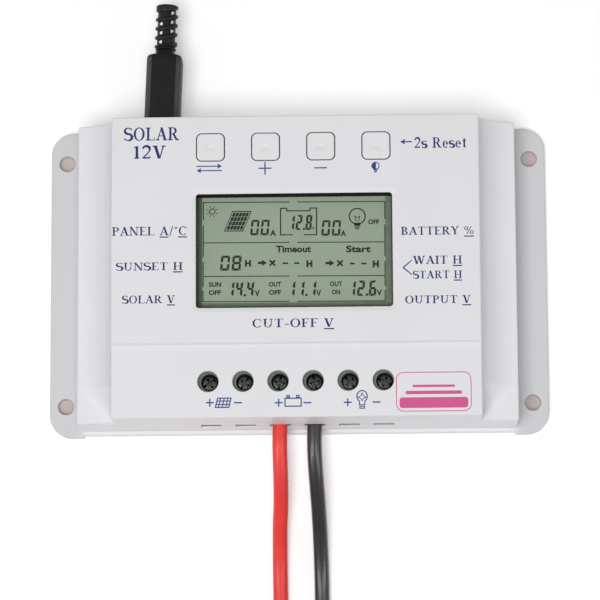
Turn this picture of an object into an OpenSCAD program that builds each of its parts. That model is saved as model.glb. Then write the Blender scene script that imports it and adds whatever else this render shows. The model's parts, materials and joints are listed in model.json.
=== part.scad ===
// Wall-mounted solar charge controller: flanged two-part case, segment display,
// four keys, three two-pole rising-cage terminal blocks, plug-in temperature
// probe and a pair of battery leads. Origin: centre of the four wall holes on
// the back face. +X along the length, +Y towards the probe, +Z out of the wall.

/* [Case] */
// Length over the mounting ears
plate_w = 148.6; // [148:0.1:152]
// Height over the mounting ears
plate_h = 92.8; // [92.6:0.1:95]
// Thickness of the back plate
plate_t = 3; // [2.8:0.1:3]
// Corner radius of the ears
plate_r = 6.8; // [5:0.1:7]
// Length of the case body
body_w = 129.2; // [129:0.1:129.4]
// Height of the case body
body_h = 89; // [88.9:0.1:89.2]
// Height of the outer edge beside the coves
ledge_z = 20; // [19.8:0.1:20.4]
// Width of the raised front
front_w = 107.6; // [107.4:0.1:107.8]
// Height of the front face
face_z = 32; // [32:0.1:33]
// Wall thickness of the cover
wall = 2; // [1.8:0.1:2]
// Y of the small step across the front
step_y = -22.9; // [-24:0.1:-22.5]
// Depth of that step
step_d = 1; // [0.6:0.1:1]

/* [Mounting holes] */
// Hole spacing along the length
hole_dx = 139; // [138.5:0.5:139]
// Hole spacing across the height
hole_dy = 74; // [70:0.5:76]
// Hole diameter
hole_d = 4.7; // [3.5:0.1:5]

/* [Display window] */
// Width of the window
win_w = 56.6; // [50:0.1:57]
// Height of the window
win_h = 33; // [30:0.1:33.4]
// X of the window's centre
win_x = -0.4; // [-1:0.1:1]
// Y of the window's centre
win_y = 4.4; // [4:0.1:5]

/* [Keys] */
// Spacing of the keys
key_pitch = 16.15; // [14:0.05:17]
// X of the middle of the row of keys
key_x = -0.5; // [-2:0.1:2]
// Y of the keys
key_y = 35.2; // [35:0.1:35.4]
// Side of a key
key_w = 8.1; // [7.5:0.1:8.3]
// Travel of a key
key_travel = 0.5; // [0.3:0.05:0.5]

/* [Terminals] */
// Spacing of the poles
pole_pitch = 10.16; // [10.16:0.01:10.2]
// X of the middle of the row of screwdriver holes
pole_x = -0.2; // [-0.3:0.1:-0.1]
// How far the terminal blocks stand to the right of the holes above them
block_dx = 0.4; // [0:0.1:0.4]
// Y of the screws
pole_y = -33.9; // [-34:0.1:-33.8]
// Diameter of the screwdriver holes
driver_d = 6.15; // [6:0.05:6.4]
// Side of the square wire entries
entry_w = 6; // [5.8:0.1:6.2]

/* [Temperature probe] */
// X of the socket
jack_x = -40.08; // [-40.5:0.02:-39.5]
// Height of the socket's axis
jack_z = 15; // [15:0.1:15.2]
// Lean of the plug towards +X, degrees
jack_lean = 2.4; // [0:0.1:2.4]
// Width of the plug's shell
plug_w = 10.5; // [9.5:0.1:11]

/* [Battery leads] */
// Outer diameter of a lead
lead_d = 4.4; // [4:0.1:4.4]
// Radius of a coil's middle turn
coil_r = 24.6; // [24:0.1:24.6]

/* [Hidden] */
hf = 64;                 // segments of round features
cove_x = 64.8;           // centre of the cove's arc, from the middle
cove_z = 31;             // height of that centre
cove_r = cove_x - front_w/2;
run_y = -34;             // where the cove starts to run out
in_x = body_w/2 - wall;  // inner faces of the cover
in_y = body_h/2 - wall;
boss_x = 58.5; boss_y = 38.5;
pcb_z = 5.4; pcb_t = 1.6; pcb_top = pcb_z + pcb_t;
stand = [[-54, 20], [54, 24], [-54, -22], [54, -22], [0, 36], [0, -21]];
disp_z = 21; disp_t = 1.6;
dboss = [[-48, 37], [48, 37], [-48, -13], [48, -13]];
hole = [for (i = [0:5]) pole_x + (i - 2.5)*pole_pitch];
pole = [for (x = hole) x + block_dx];
lead_x = [-5.4, 4.8];    // the two leads where they leave the case
gasket = 0.4;            // foam lining of the window
block_top = 28.6;
wire_z = 12;             // axis of a clamped conductor
tongue_z = 13.4;         // underside of the fixed tongues
cage_up = 9.9;           // floor of a clamped cage
cage_drop = 2;           // travel of a cage, four turns of an M3 screw
lead_r = lead_d/2;
turn = 4.6;              // spacing of the coil's turns
layer = 4.5;             // height of a layer
coil_y = -136;
coil_bottom = 0.5;
red_x = -35; black_x = 35.6;   // centres of the coils
reach_r = coil_r + turn;       // radius of the outermost turn
// Routes of the leads from the bare end to the coil, and from the coil to the ring terminal
red_route = [[lead_x[0], -38, 12], [lead_x[0], -44, 12], [-5.5, -50, 11.9], [-5.4, -56, 11.2], [-5.3, -62, 9.8],
  [-5.4, -68, 7.8], [-5.7, -74, 5.6], [-5.8, -80, 3.9], [-5.8, -88, 2.6], [-5.7, -97, 2.3],
  [-5.7, -106, 2.3], [-5.7, -115, 2.4], [-5.8, -124, 2.6], [-5.8, -130, 2.7]];
black_route = [[lead_x[1], -38, 12], [lead_x[1], -44, 12], [4.7, -50, 11.9], [4.9, -56, 11.2], [5.3, -62, 9.8],
  [5.7, -68, 7.8], [6.0, -74, 5.6], [6.2, -80, 3.9], [6.4, -88, 2.6], [6.5, -97, 2.3],
  [6.5, -106, 2.3], [6.4, -115, 2.4], [6.4, -124, 2.6], [6.4, -130, 2.7]];
red_tail = [[-5.8, -142, 7.2], [-5.8, -147, 6.6], [-5.8, -151.5, 5.3], [-5.8, -155.5, 4.0], [-5.8, -159.5, 3.3], [-5.8, -168, 3.3]];
black_tail = [[6.4, -142, 7.2], [6.4, -147, 6.6], [6.4, -151.5, 5.3], [6.4, -155.5, 4.0], [6.4, -159.5, 3.3], [6.4, -168, 3.3]];

c_case = [0.90, 0.90, 0.92]; c_green = [0.30, 0.55, 0.38]; c_steel = [0.72, 0.73, 0.75];
c_brass = [0.80, 0.66, 0.36]; c_board = [0.10, 0.36, 0.20]; c_black = [0.12, 0.12, 0.13];

// A square with round corners, built from plain squares and circles
module rsquare(w, h, r) {
  square([w - 2*r, h], center = true);
  square([w, h - 2*r], center = true);
  for (x = [-1, 1], y = [-1, 1]) translate([x*(w/2 - r), y*(h/2 - r)]) circle(r, $fn = hf);
}
module at(list) { for (p = list) translate([p[0], p[1], 0]) children(); }
module four(x, y) { for (a = [-1, 1], b = [-1, 1]) translate([a*x, b*y, 0]) children(); }
module cyl(r, z0, z1) { translate([0, 0, z0]) cylinder(r = r, h = z1 - z0, $fn = hf); }
module box(x0, x1, y0, y1, z0, z1) { translate([x0, y0, z0]) cube([x1 - x0, y1 - y0, z1 - z0]); }

// Tube through the points of a route
function unit(v) = v/norm(v);
function tangent(p, i) = unit((i < len(p) - 1 ? p[i + 1] : p[i]) - (i > 0 ? p[i - 1] : p[i]));
function ring(c, t, r, n) = let (s = unit(cross([0, 0, 1], t)), u = cross(t, s))
  [for (k = [0:n - 1]) c + r*(cos(360*k/n)*s + sin(360*k/n)*u)];
module tube(p, r, n = 8) {
  m = len(p);
  pts = [for (i = [0:m - 1]) each ring(p[i], tangent(p, i), r, n)];
  sides = [for (i = [0:m - 2], k = [0:n - 1]) let (a = i*n + k, b = i*n + (k + 1)%n) [a, a + n, b + n, b]];
  polyhedron(pts, concat([[for (k = [0:n - 1]) k]], sides, [[for (k = [n - 1:-1:0]) (m - 1)*n + k]]), convexity = 4);
}

// ---------- case ----------
module base_tray() color(c_case) difference() {
  union() {
    linear_extrude(plate_t) rsquare(plate_w, plate_h, plate_r);
    difference() {
      box(-in_x + 0.2, in_x - 0.2, -in_y + 0.2, in_y - 0.2, plate_t, 5);
      box(-in_x + 1.7, in_x - 1.7, -in_y + 1.7, in_y - 1.7, plate_t - 1, 6);
    }
    at(stand) cyl(3.5, plate_t - 0.5, pcb_z);
  }
  // the plate is a little narrower between the ears
  for (s = [-1, 1]) box(-64, 64, s > 0 ? 45.7 : -50, s > 0 ? 50 : -45.7, -1, plate_t + 1);
  four(hole_dx/2, hole_dy/2) cyl(hole_d/2, -1, plate_t + 1);
  four(boss_x, boss_y) { cyl(3.2, -1, 1.8); cyl(1.7, -1, plate_t + 1); cyl(3.7, plate_t, 6); }
  at(stand) cyl(1.5, 1.2, pcb_z + 1);
  // cooling slots through the back
  for (i = [-4:4]) translate([16 + i*5, 0, 0]) linear_extrude(10, center = true) {
    square([2, 22], center = true); for (s = [-1, 1]) translate([0, s*11]) circle(1, $fn = 32); }
}

module case_outer() difference() {
  box(-body_w/2, body_w/2, -body_h/2, body_h/2, plate_t, face_z);
  box(-body_w, body_w, -body_h, step_y, face_z - step_d, face_z + 1);
  for (s = [-1, 1]) mirror([s < 0 ? 1 : 0, 0, 0]) {
    box(cove_x - cove_r, cove_x + 1, -body_h, body_h, cove_z, face_z + 1);
    translate([cove_x, run_y, cove_z]) rotate([-90, 0, 0]) cylinder(r = cove_r, h = body_h, $fn = 96);
    hull() {
      translate([cove_x, run_y, cove_z]) rotate([-90, 0, 0]) cylinder(r = cove_r, h = 0.02, $fn = 48);
      box(cove_x - cove_r, cove_x + 1, -body_h/2 - 0.1, -body_h/2, ledge_z, cove_z + 0.1);
    }
  }
}
module case_inner() difference() {
  union() {
    box(-front_w/2 + wall, front_w/2 - wall, -in_y, in_y, plate_t - 1, face_z - wall);
    box(-in_x, in_x, -in_y, in_y, plate_t - 1, ledge_z - wall);
    difference() {
      box(-in_x, in_x, run_y + 2.5, in_y, plate_t - 1, cove_z);
      for (s = [-1, 1]) translate([s*cove_x, run_y, cove_z]) rotate([-90, 0, 0]) cylinder(r = cove_r + wall, h = body_h, $fn = 96);
    }
  }
  box(-body_w, body_w, -body_h, step_y + wall, face_z - step_d - wall, face_z);
  four(boss_x, boss_y) cyl(3.4, plate_t, cove_z);
  at(dboss) cyl(3, disp_z + disp_t, face_z);
  // collar round the window
  difference() {
    translate([win_x, win_y, 28.1]) linear_extrude(4) rsquare(win_w + 4, win_h + 4, 1.2);
    translate([win_x, win_y, 20]) linear_extrude(14) square([win_w + 2*gasket, win_h + 2*gasket], center = true);
  }
}
module top_cover() color(c_case) difference() {
  case_outer();
  case_inner();
  four(boss_x, boss_y) cyl(1.5, plate_t - 1, 16);
  at(dboss) cyl(1.2, disp_z, face_z - 1.5);
  translate([win_x, win_y, 20]) linear_extrude(20) square([win_w + 2*gasket, win_h + 2*gasket], center = true);
  translate([win_x, win_y, face_z - 0.35]) linear_extrude(2) rsquare(win_w + 3, win_h + 3, 0.8);
  for (i = [0:3]) translate([key_x + (i - 1.5)*key_pitch, key_y, 20]) linear_extrude(20) rsquare(key_w + 0.4, key_w + 0.4, 1.7);
  for (x = hole) translate([x, pole_y, 0]) cyl(driver_d/2, 28, face_z + 1);
  for (x = hole) box(x - entry_w/2, x + entry_w/2, -body_h, -in_y + 1, 9, 15);
  jack_at() rotate([-90, 0, 0]) translate([0, 0, -4]) cylinder(r = 4.1, h = 8, $fn = hf);
}
module case_screws() color(c_steel) four(boss_x, boss_y) difference() {
  union() { cyl(3, 0.2, 1.75); cyl(1.45, 1.7, 13); }
  for (a = [0, 90]) rotate(a) box(-0.5, 0.5, -1.7, 1.7, -1, 1.1);
}

// ---------- main board ----------
module main_board() color(c_board) difference() {
  box(-60, 60, -40.5, 40.5, pcb_z, pcb_top);
  four(60, 40.5) box(-6, 6, -7, 7, 0, 10);
  at(stand) cyl(1.6, 0, 10);
  for (x = pole) translate([x, -28.6, 0]) cyl(0.9, 0, 10);
}
module board_screws() color(c_steel) at(stand) difference() {
  union() { cyl(2.8, pcb_top + 0.02, pcb_top + 2); cyl(1.45, 2, pcb_top + 0.5); }
  for (a = [0, 90]) rotate(a) box(-0.5, 0.5, -1.6, 1.6, pcb_top + 1, pcb_top + 3);
}
module heat_sink() color(c_steel) {
  box(-6, 44, -16, 15, 11.5, 13.5);
  for (i = [0:9]) box(-6 + i*5.4, -4.6 + i*5.4, -16, 15, 13.5, 19.5);
  for (x = [-5, 40]) box(x, x + 3, -16, -13, pcb_top, 11.5);
}
module power_transistors() color(c_black) for (i = [0:3]) translate([1 + i*11.2, 0, 0]) {
  box(-5, 5, -9, 0, pcb_top + 0.05, 11.45);
  box(-5, 5, 0, 6.5, 10.1, 11.45);
  for (k = [-1, 0, 1]) { box(k*2.54 - 0.4, k*2.54 + 0.4, -12.5, -9, 8.6, 9.1); box(k*2.54 - 0.4, k*2.54 + 0.4, -12.5, -12, pcb_top, 8.6); }
}
module capacitors() color([0.15, 0.2, 0.35]) for (y = [-8, 4, 33]) translate([-45 + (y > 20 ? 25 : 0), y, 0]) cyl(5, pcb_top, 18.5);
module controller_chip() color(c_black) translate([-24, 4, 0]) {
  box(-6, 6, -6, 6, pcb_top + 0.1, pcb_top + 1.6);
  for (a = [0:90:270], k = [-5:5]) rotate(a) box(k - 0.2, k + 0.2, 6, 7.3, pcb_top, pcb_top + 0.6);
}
module fuse_holder() color(c_black) translate([-30, -17, 0]) difference() {
  box(-11, 11, -3.5, 3.5, pcb_top, 13);
  box(-9.8, 9.8, -2, 2, 8.4, 14);
}
module blade_fuse() color([0.85, 0.3, 0.15]) translate([-30, -17, 0]) {
  box(-9.6, 9.6, -1.9, 1.9, 13.1, 19);
  for (s = [-1, 1]) box(s*6.5 - 2.6, s*6.5 + 2.6, -0.35, 0.35, 8.6, 13.1);
}

// ---------- terminal blocks ----------
// One moulded block carries the two poles either side of x
module terminal_block(x) color(c_green) difference() {
  box(x - pole_pitch + 0.05, x + pole_pitch - 0.05, -in_y + 0.2, -26.3, pcb_top, block_top);
  for (s = [-1, 1]) translate([x + s*pole_pitch/2, 0, 0]) {
    box(-3.4, 3.4, pole_y - 3.7, pole_y + 3.7, 7.8, 19.3);                  // cage well
    box(-2.8, 2.8, -50, pole_y - 3, 8.6, 14.8);                             // wire funnel
    box(-2.1, 2.1, pole_y + 3, -28.1, pcb_top - 1, 14.5);                   // slot for the tongue
    translate([0, pole_y, 0]) { cyl(1.6, 19, 25); cyl(2.5, 24.7, 30); }       // screw and its head
  }
}
module pv_terminal_block() terminal_block(pole_x + block_dx - 2*pole_pitch);
module battery_terminal_block() terminal_block(pole_x + block_dx);
module load_terminal_block() terminal_block(pole_x + block_dx + 2*pole_pitch);
module contact_tongues() color(c_brass) for (x = pole) translate([x, 0, 0]) {
  box(-2, 2, -36.6, -28.2, tongue_z, tongue_z + 1);
  box(-2, 2, -29, -28.2, pcb_top, tongue_z + 0.5);
  translate([0, -28.6, 0]) cyl(0.39, 4.2, pcb_top + 0.2);
}
module clamp_screw(i) color(c_steel) translate([pole[i], pole_y, 0]) difference() {
  union() { cyl(2.4, 24.8, 27); cyl(1.45, tongue_z + 1.1, 24.9); }
  for (a = [0, 90]) rotate(a + 30 + 25*i) box(-0.4, 0.4, -1.7, 1.7, 25.8, 28);
}
// Rectangular cage with a threaded top that the screw lifts
module clamp_cage(i) {
  drop = (i == 2 || i == 3) ? 0 : cage_drop;
  color(c_steel) translate([pole[i], pole_y, cage_up - drop]) difference() {
    box(-3.3, 3.3, -3.5, 3.5, 0, 8.3);
    box(-2.6, 2.6, -4, 4, 0.7, 6.7);
    cyl(1.5, 6, 9);
  }
}
module pv_plus_screw() clamp_screw(0);
module pv_minus_screw() clamp_screw(1);
module battery_plus_screw() clamp_screw(2);
module battery_minus_screw() clamp_screw(3);
module load_plus_screw() clamp_screw(4);
module load_minus_screw() clamp_screw(5);
module pv_plus_cage() clamp_cage(0);
module pv_minus_cage() clamp_cage(1);
module battery_plus_cage() clamp_cage(2);
module battery_minus_cage() clamp_cage(3);
module load_plus_cage() clamp_cage(4);
module load_minus_cage() clamp_cage(5);

// ---------- display and keys ----------
module display_board() color(c_board) difference() {
  box(-51, 51, -16.5, 41, disp_z, disp_z + disp_t);
  at(dboss) cyl(1.6, 0, 40);
}
module display_screws() color(c_steel) at(dboss) difference() {
  union() { cyl(2.6, disp_z - 1.7, disp_z - 0.02); cyl(1.15, disp_z - 1, 28); }
  for (a = [0, 90]) rotate(a) box(-0.4, 0.4, -1.5, 1.5, disp_z - 3, disp_z - 0.9);
}
module board_link() color(c_black) translate([-20, 20.5, 0]) {
  box(-10.2, 10.2, -1.25, 1.25, pcb_top, disp_z);
}
module tact_switches() color(c_black) for (i = [0:3]) translate([key_x + (i - 1.5)*key_pitch, key_y, 0]) difference() {
  box(-3, 3, -3, 3, disp_z + disp_t, 26.1);
  cyl(1.75, 23.6, 27);
}
module lcd_frame() color([0.85, 0.86, 0.84]) translate([win_x, win_y, 0]) difference() {
  box(-33, 33, -20.7, 20.7, disp_z + disp_t, 28.05);
  box(-31, 31, -18.9, 18.9, 23.2, 29);
}
module backlight() color([0.75, 0.82, 0.72]) translate([win_x, win_y, 0]) box(-30.9, 30.9, -18.8, 18.8, 23.25, 26.3);
module lcd_gasket() color(c_black) translate([win_x, win_y, 28.02]) linear_extrude(face_z - 0.5 - 28.02) difference() {
  square([win_w + 2*gasket - 0.02, win_h + 2*gasket - 0.02], center = true);
  square([win_w, win_h], center = true);
}
module lcd_glass() color([0.50, 0.55, 0.48]) translate([win_x, win_y, 0]) box(-30.8, 30.8, -18.7, 18.7, 26.35, 28);
module key_cap(i) color(c_case) translate([key_x + (i - 1.5)*key_pitch, key_y, 0]) {
  translate([0, 0, 29.2]) linear_extrude(face_z + 0.5 - 29.2) rsquare(key_w, key_w, 1.5);
  translate([0, 0, 28.6]) linear_extrude(1.2) rsquare(key_w + 1.8, key_w + 1.8, 1.7);
}
module key_swap() key_cap(0);
module key_plus() key_cap(1);
module key_minus() key_cap(2);
module key_lamp() key_cap(3);
module plunger(i) color(c_black) translate([key_x + (i - 1.5)*key_pitch, key_y, 0]) cyl(1.68, 24.2, 28.6);
module plunger_swap() plunger(0);
module plunger_plus() plunger(1);
module plunger_minus() plunger(2);
module plunger_lamp() plunger(3);

// ---------- temperature probe ----------
module jack_at() translate([jack_x, body_h/2, jack_z]) rotate([0, 0, -jack_lean]) children();
module ycyl(r, y0, y1) translate([0, y0, 0]) rotate([-90, 0, 0]) cylinder(r = r, h = y1 - y0, $fn = hf);
module jack_socket() color(c_black) jack_at() difference() {
  union() { box(-5.5, 5.5, -17, -2.4, pcb_top - jack_z, 4); ycyl(3.9, -2.5, -0.1); }
  ycyl(1.8, -15.5, 1);
}
module plug_pin() color(c_steel) jack_at() {
  ycyl(1.75, -12, 0.3);
  translate([0, -14, 0]) rotate([-90, 0, 0]) cylinder(r1 = 0.9, r2 = 1.75, h = 2, $fn = hf);
}
module plug_shell() color(c_black) jack_at() {
  w = plug_w/2; h = 4.8; c = 1.5;
  translate([0, 22.5, 0]) rotate([90, 0, 0]) linear_extrude(22.2)
    polygon([[w - c, h], [-w + c, h], [-w, h - c], [-w, -h + c], [-w + c, -h], [w - c, -h], [w, -h + c], [w, h - c]]);
  translate([0, 22.5, 0]) rotate([-90, 0, 0]) cylinder(r1 = 4.6, r2 = 3.4, h = 1.9, $fn = hf);
}
module plug_strain_relief() color(c_black) jack_at() difference() {
  union() {
    ycyl(2.3, 24.4, 38.2);
    for (k = [0:4]) ycyl(3.4, 25.9 + 2.7*k, 27.4 + 2.7*k);
    for (k = [0:5]) translate([(k%2 ? 1 : -1)*1.6, 24.4 + 2.7*k, 0]) rotate([-90, 0, 0]) translate([-1.4, -2, 0]) cube([2.8, 4, k < 5 ? 1.6 : 0.3]);
  }
  ycyl(1.3, 24.3, 40);
}
module thermistor_bead() color([0.1, 0.1, 0.11]) jack_at() {
  ycyl(1.25, 24.6, 37.4);
  translate([0, 37.4, 0]) sphere(r = 1.25, $fn = 48);
}

// ---------- battery leads ----------
module bare_ends() color([0.80, 0.45, 0.25]) for (x = lead_x) translate([x, 0, wire_z]) ycyl(1.35, -38, -31);
module lead(a, b) { tube(a, lead_r); tube(b, lead_r); }
module coil(x) translate([x, coil_y, coil_bottom]) rotate_extrude($fn = 96)
  translate([coil_r, (2*lead_r + layer)/2]) rsquare(2*turn + lead_d, layer + lead_d, lead_r);
module ring_terminal(x) {
  translate([x, 0, 3.3]) {
    difference() { ycyl(3.2, -171, -161); ycyl(2.3, -169, -160); }
    difference() {
      union() { box(-2.2, 2.2, -176, -171, -0.45, 0.45); translate([0, -177.5, 0]) cyl(4.8, -0.45, 0.45); }
      translate([0, -177.5, 0]) cyl(2.65, -2, 2);
    }
  }
}
module red_lead() color([0.87, 0.22, 0.18]) lead(red_route, red_tail);
module red_coil() color([0.87, 0.22, 0.18]) coil(red_x);
module red_ring_terminal() color([0.87, 0.22, 0.18]) ring_terminal(-5.8);
module black_lead() color(c_black) lead(black_route, black_tail);
module black_coil() color(c_black) coil(black_x);
module black_ring_terminal() color(c_black) ring_terminal(6.4);
module coil_ties() color(c_black) for (x = [red_x - coil_r, black_x + coil_r]) translate([x, coil_y, 0]) difference() {
  box(-7.8, 7.8, -3, 3, 0, 9.9);
  box(-7.15, 7.15, -4, 4, 0.48, 9.42);
}

base_tray();
top_cover();
case_screws();
main_board();
board_screws();
heat_sink();
power_transistors();
capacitors();
controller_chip();
fuse_holder();
blade_fuse();
pv_terminal_block();
battery_terminal_block();
load_terminal_block();
contact_tongues();
jack_socket();
display_board();
display_screws();
board_link();
tact_switches();
lcd_glass();
lcd_gasket();
lcd_frame();
backlight();
key_swap();
key_plus();
key_minus();
key_lamp();
plunger_swap();
plunger_plus();
plunger_minus();
plunger_lamp();
pv_plus_screw();
pv_minus_screw();
battery_plus_screw();
battery_minus_screw();
load_plus_screw();
load_minus_screw();
pv_plus_cage();
pv_minus_cage();
battery_plus_cage();
battery_minus_cage();
load_plus_cage();
load_minus_cage();
plug_shell();
plug_strain_relief();
plug_pin();
thermistor_bead();
bare_ends();
red_lead();
red_coil();
red_ring_terminal();
black_lead();
black_coil();
black_ring_terminal();
coil_ties();
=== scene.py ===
"""Looks of the wall-mounted solar charge controller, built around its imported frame.

Numbers in the builders below are millimetres in the row frame; mesh_obj() writes them to meshes in metres.
"""

import json
import math

import bmesh
import bpy
from mathutils import Matrix, Vector


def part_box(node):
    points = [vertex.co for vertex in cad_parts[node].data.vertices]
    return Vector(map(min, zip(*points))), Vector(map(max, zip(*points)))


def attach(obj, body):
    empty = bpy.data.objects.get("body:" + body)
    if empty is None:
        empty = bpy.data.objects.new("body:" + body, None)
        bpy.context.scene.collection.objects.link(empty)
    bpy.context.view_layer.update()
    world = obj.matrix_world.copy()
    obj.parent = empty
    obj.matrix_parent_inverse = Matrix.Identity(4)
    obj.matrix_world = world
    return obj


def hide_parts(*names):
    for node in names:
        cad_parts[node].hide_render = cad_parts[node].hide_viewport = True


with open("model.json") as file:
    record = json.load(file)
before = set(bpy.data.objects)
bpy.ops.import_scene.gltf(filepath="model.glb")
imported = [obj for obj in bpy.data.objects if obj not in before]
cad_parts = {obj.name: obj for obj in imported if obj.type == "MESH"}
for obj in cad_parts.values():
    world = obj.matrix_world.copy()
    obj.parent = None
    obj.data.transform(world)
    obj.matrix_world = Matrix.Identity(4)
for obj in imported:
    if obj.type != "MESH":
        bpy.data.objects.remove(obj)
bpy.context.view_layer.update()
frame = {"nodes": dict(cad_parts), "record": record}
scene = bpy.context.scene
nodes = frame["nodes"]
MM = 0.001


def box_mm(node):
    lo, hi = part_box(node)
    return [c / MM for c in lo], [c / MM for c in hi]


def mid_mm(node):
    lo, hi = box_mm(node)
    return [(a + b) / 2 for a, b in zip(lo, hi)]


# ---------------------------------------------------------------- camera
def make_camera():
    data = bpy.data.cameras.new("camera")
    data.lens, data.sensor_width = 199.984, 36
    data.clip_start, data.clip_end = 0.05, 20
    cam = bpy.data.objects.new("camera", data)
    scene.collection.objects.link(cam)
    right = (0.99958883, -0.00577491, -0.02808614)
    up = (0.01050638, 0.98515215, 0.17136178)
    back = (0.02667952, -0.1715864, 0.98480775)
    place = (0.0270565, -0.1764534, 0.9848078)
    cam.matrix_world = Matrix([(right[i], up[i], back[i], place[i]) for i in range(3)] + [(0, 0, 0, 1)])
    scene.camera = cam


make_camera()


# ---------------------------------------------------------------- mesh tools
def merge(parts):
    verts, faces = [], []
    for v, f in parts:
        n = len(verts)
        verts += list(v)
        faces += [tuple(i + n for i in p) for p in f]
    return verts, faces


def mesh_obj(name, verts, faces):
    me = bpy.data.meshes.new(name)
    me.from_pydata([(x * MM, y * MM, z * MM) for x, y, z in verts], [], faces)
    me.validate()
    bm = bmesh.new()
    bm.from_mesh(me)
    bmesh.ops.remove_doubles(bm, verts=bm.verts, dist=2e-7)
    bmesh.ops.dissolve_degenerate(bm, edges=bm.edges, dist=1e-8)
    bmesh.ops.recalc_face_normals(bm, faces=bm.faces)
    bm.to_mesh(me)
    bm.free()
    ob = bpy.data.objects.new(name, me)
    scene.collection.objects.link(ob)
    return ob


def loft(loops, caps=(True, True), ring=False):
    n, m = len(loops[0]), len(loops)
    verts = [p for loop in loops for p in loop]
    faces = []
    for i in range(m if ring else m - 1):
        a, b = i * n, ((i + 1) % m) * n
        for k in range(n):
            q = (k + 1) % n
            faces.append((a + k, a + q, b + q, b + k))
    if not ring:
        if caps[0]:
            faces.append(tuple(range(n - 1, -1, -1)))
        if caps[1]:
            faces.append(tuple(range((m - 1) * n, m * n)))
    return verts, faces


def at_z(points, z):
    return [(x, y, z) for x, y in points]


def rrect(w, h, r, cx=0.0, cy=0.0, n=8):
    r = max(min(r, w / 2 - 1e-4, h / 2 - 1e-4), 1e-3)
    out = []
    for sx, sy, a0 in ((1, 1, 0), (-1, 1, 90), (-1, -1, 180), (1, -1, 270)):
        for k in range(n + 1):
            a = math.radians(a0 + 90 * k / n)
            out.append((cx + sx * (w / 2 - r) + r * math.cos(a), cy + sy * (h / 2 - r) + r * math.sin(a)))
    return out


def disc(r, cx=0.0, cy=0.0, n=64):
    return [(cx + r * math.cos(2 * math.pi * k / n), cy + r * math.sin(2 * math.pi * k / n)) for k in range(n)]


def turned(profile, n=48):
    """Closed solid of revolution about Z from (radius, z) points, from one end of the axis to the other."""
    loops = [at_z(disc(max(r, 1e-3), n=n), z) for r, z in profile]
    return loft(loops)


def moved(part, matrix):
    """A part carried by a 4x4 matrix whose translation is in millimetres."""
    verts, faces = part
    out = []
    for v in verts:
        p = matrix @ Vector(v)
        out.append((p.x, p.y, p.z))
    return out, faces


def flare(outline, z0, z1, r, over=1.0, n=5):
    """Cutter along Z whose rim at z1 opens into a rounded lip of radius r. outline(d) is its loop, widened by d."""
    loops = [at_z(outline(0), z0)]
    for k in range(n + 1):
        a = math.pi / 2 * k / n
        loops.append(at_z(outline(r * (1 - math.cos(a))), z1 - r + r * math.sin(a) + (0.002 if k == n else 0)))
    loops.append(at_z(outline(r), z1 + over))
    return loft(loops)


def bake(ob):
    dg = bpy.context.evaluated_depsgraph_get()
    me = bpy.data.meshes.new_from_object(ob.evaluated_get(dg), depsgraph=dg)
    ob.modifiers.clear()
    old = ob.data
    ob.data = me
    bpy.data.meshes.remove(old)
    return ob


def boolean(ob, parts, op="DIFFERENCE"):
    cutter = mesh_obj("cutter", *merge(parts))
    m = ob.modifiers.new("cut", "BOOLEAN")
    m.object, m.operation, m.solver = cutter, op, "EXACT"
    bake(ob)
    data = cutter.data
    bpy.data.objects.remove(cutter)
    bpy.data.meshes.remove(data)
    return ob


def tidy(ob, angle=32, bevel=0.0, segments=2, weighted=True):
    """Optional small bevel, then smooth shading with sharp edges kept."""
    if bevel:
        m = ob.modifiers.new("bevel", "BEVEL")
        m.width, m.segments, m.limit_method = bevel * MM, segments, "ANGLE"
        m.angle_limit = math.radians(angle)
        bake(ob)
    bm = bmesh.new()
    bm.from_mesh(ob.data)
    bmesh.ops.remove_doubles(bm, verts=bm.verts, dist=5e-7)
    loose = [v for v in bm.verts if not v.link_faces]
    if loose:
        bmesh.ops.delete(bm, geom=loose, context="VERTS")
    bm.to_mesh(ob.data)
    bm.free()
    ob.data.shade_smooth()
    ob.data.set_sharp_from_angle(angle=math.radians(angle))
    if weighted:
        m = ob.modifiers.new("normals", "WEIGHTED_NORMAL")
        m.keep_sharp, m.weight = True, 80
    return ob


# ---------------------------------------------------------------- materials
def node_mat(name):
    m = bpy.data.materials.new(name)
    m.use_nodes = True
    nt = m.node_tree
    bsdf = nt.nodes["Principled BSDF"]
    coords = nt.nodes.new("ShaderNodeTexCoord")
    return m, nt, bsdf, coords


def add_noise(nt, coords, size, detail=3.0, stretch=None):
    """Noise whose features are about size millimetres."""
    tex = nt.nodes.new("ShaderNodeTexNoise")
    tex.inputs["Scale"].default_value = 1.0 / (size * MM)
    tex.inputs["Detail"].default_value = detail
    source = coords.outputs["Object"]
    if stretch:
        mapping = nt.nodes.new("ShaderNodeMapping")
        mapping.inputs["Scale"].default_value = stretch
        nt.links.new(source, mapping.inputs["Vector"])
        source = mapping.outputs["Vector"]
    nt.links.new(source, tex.inputs["Vector"])
    return tex


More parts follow.
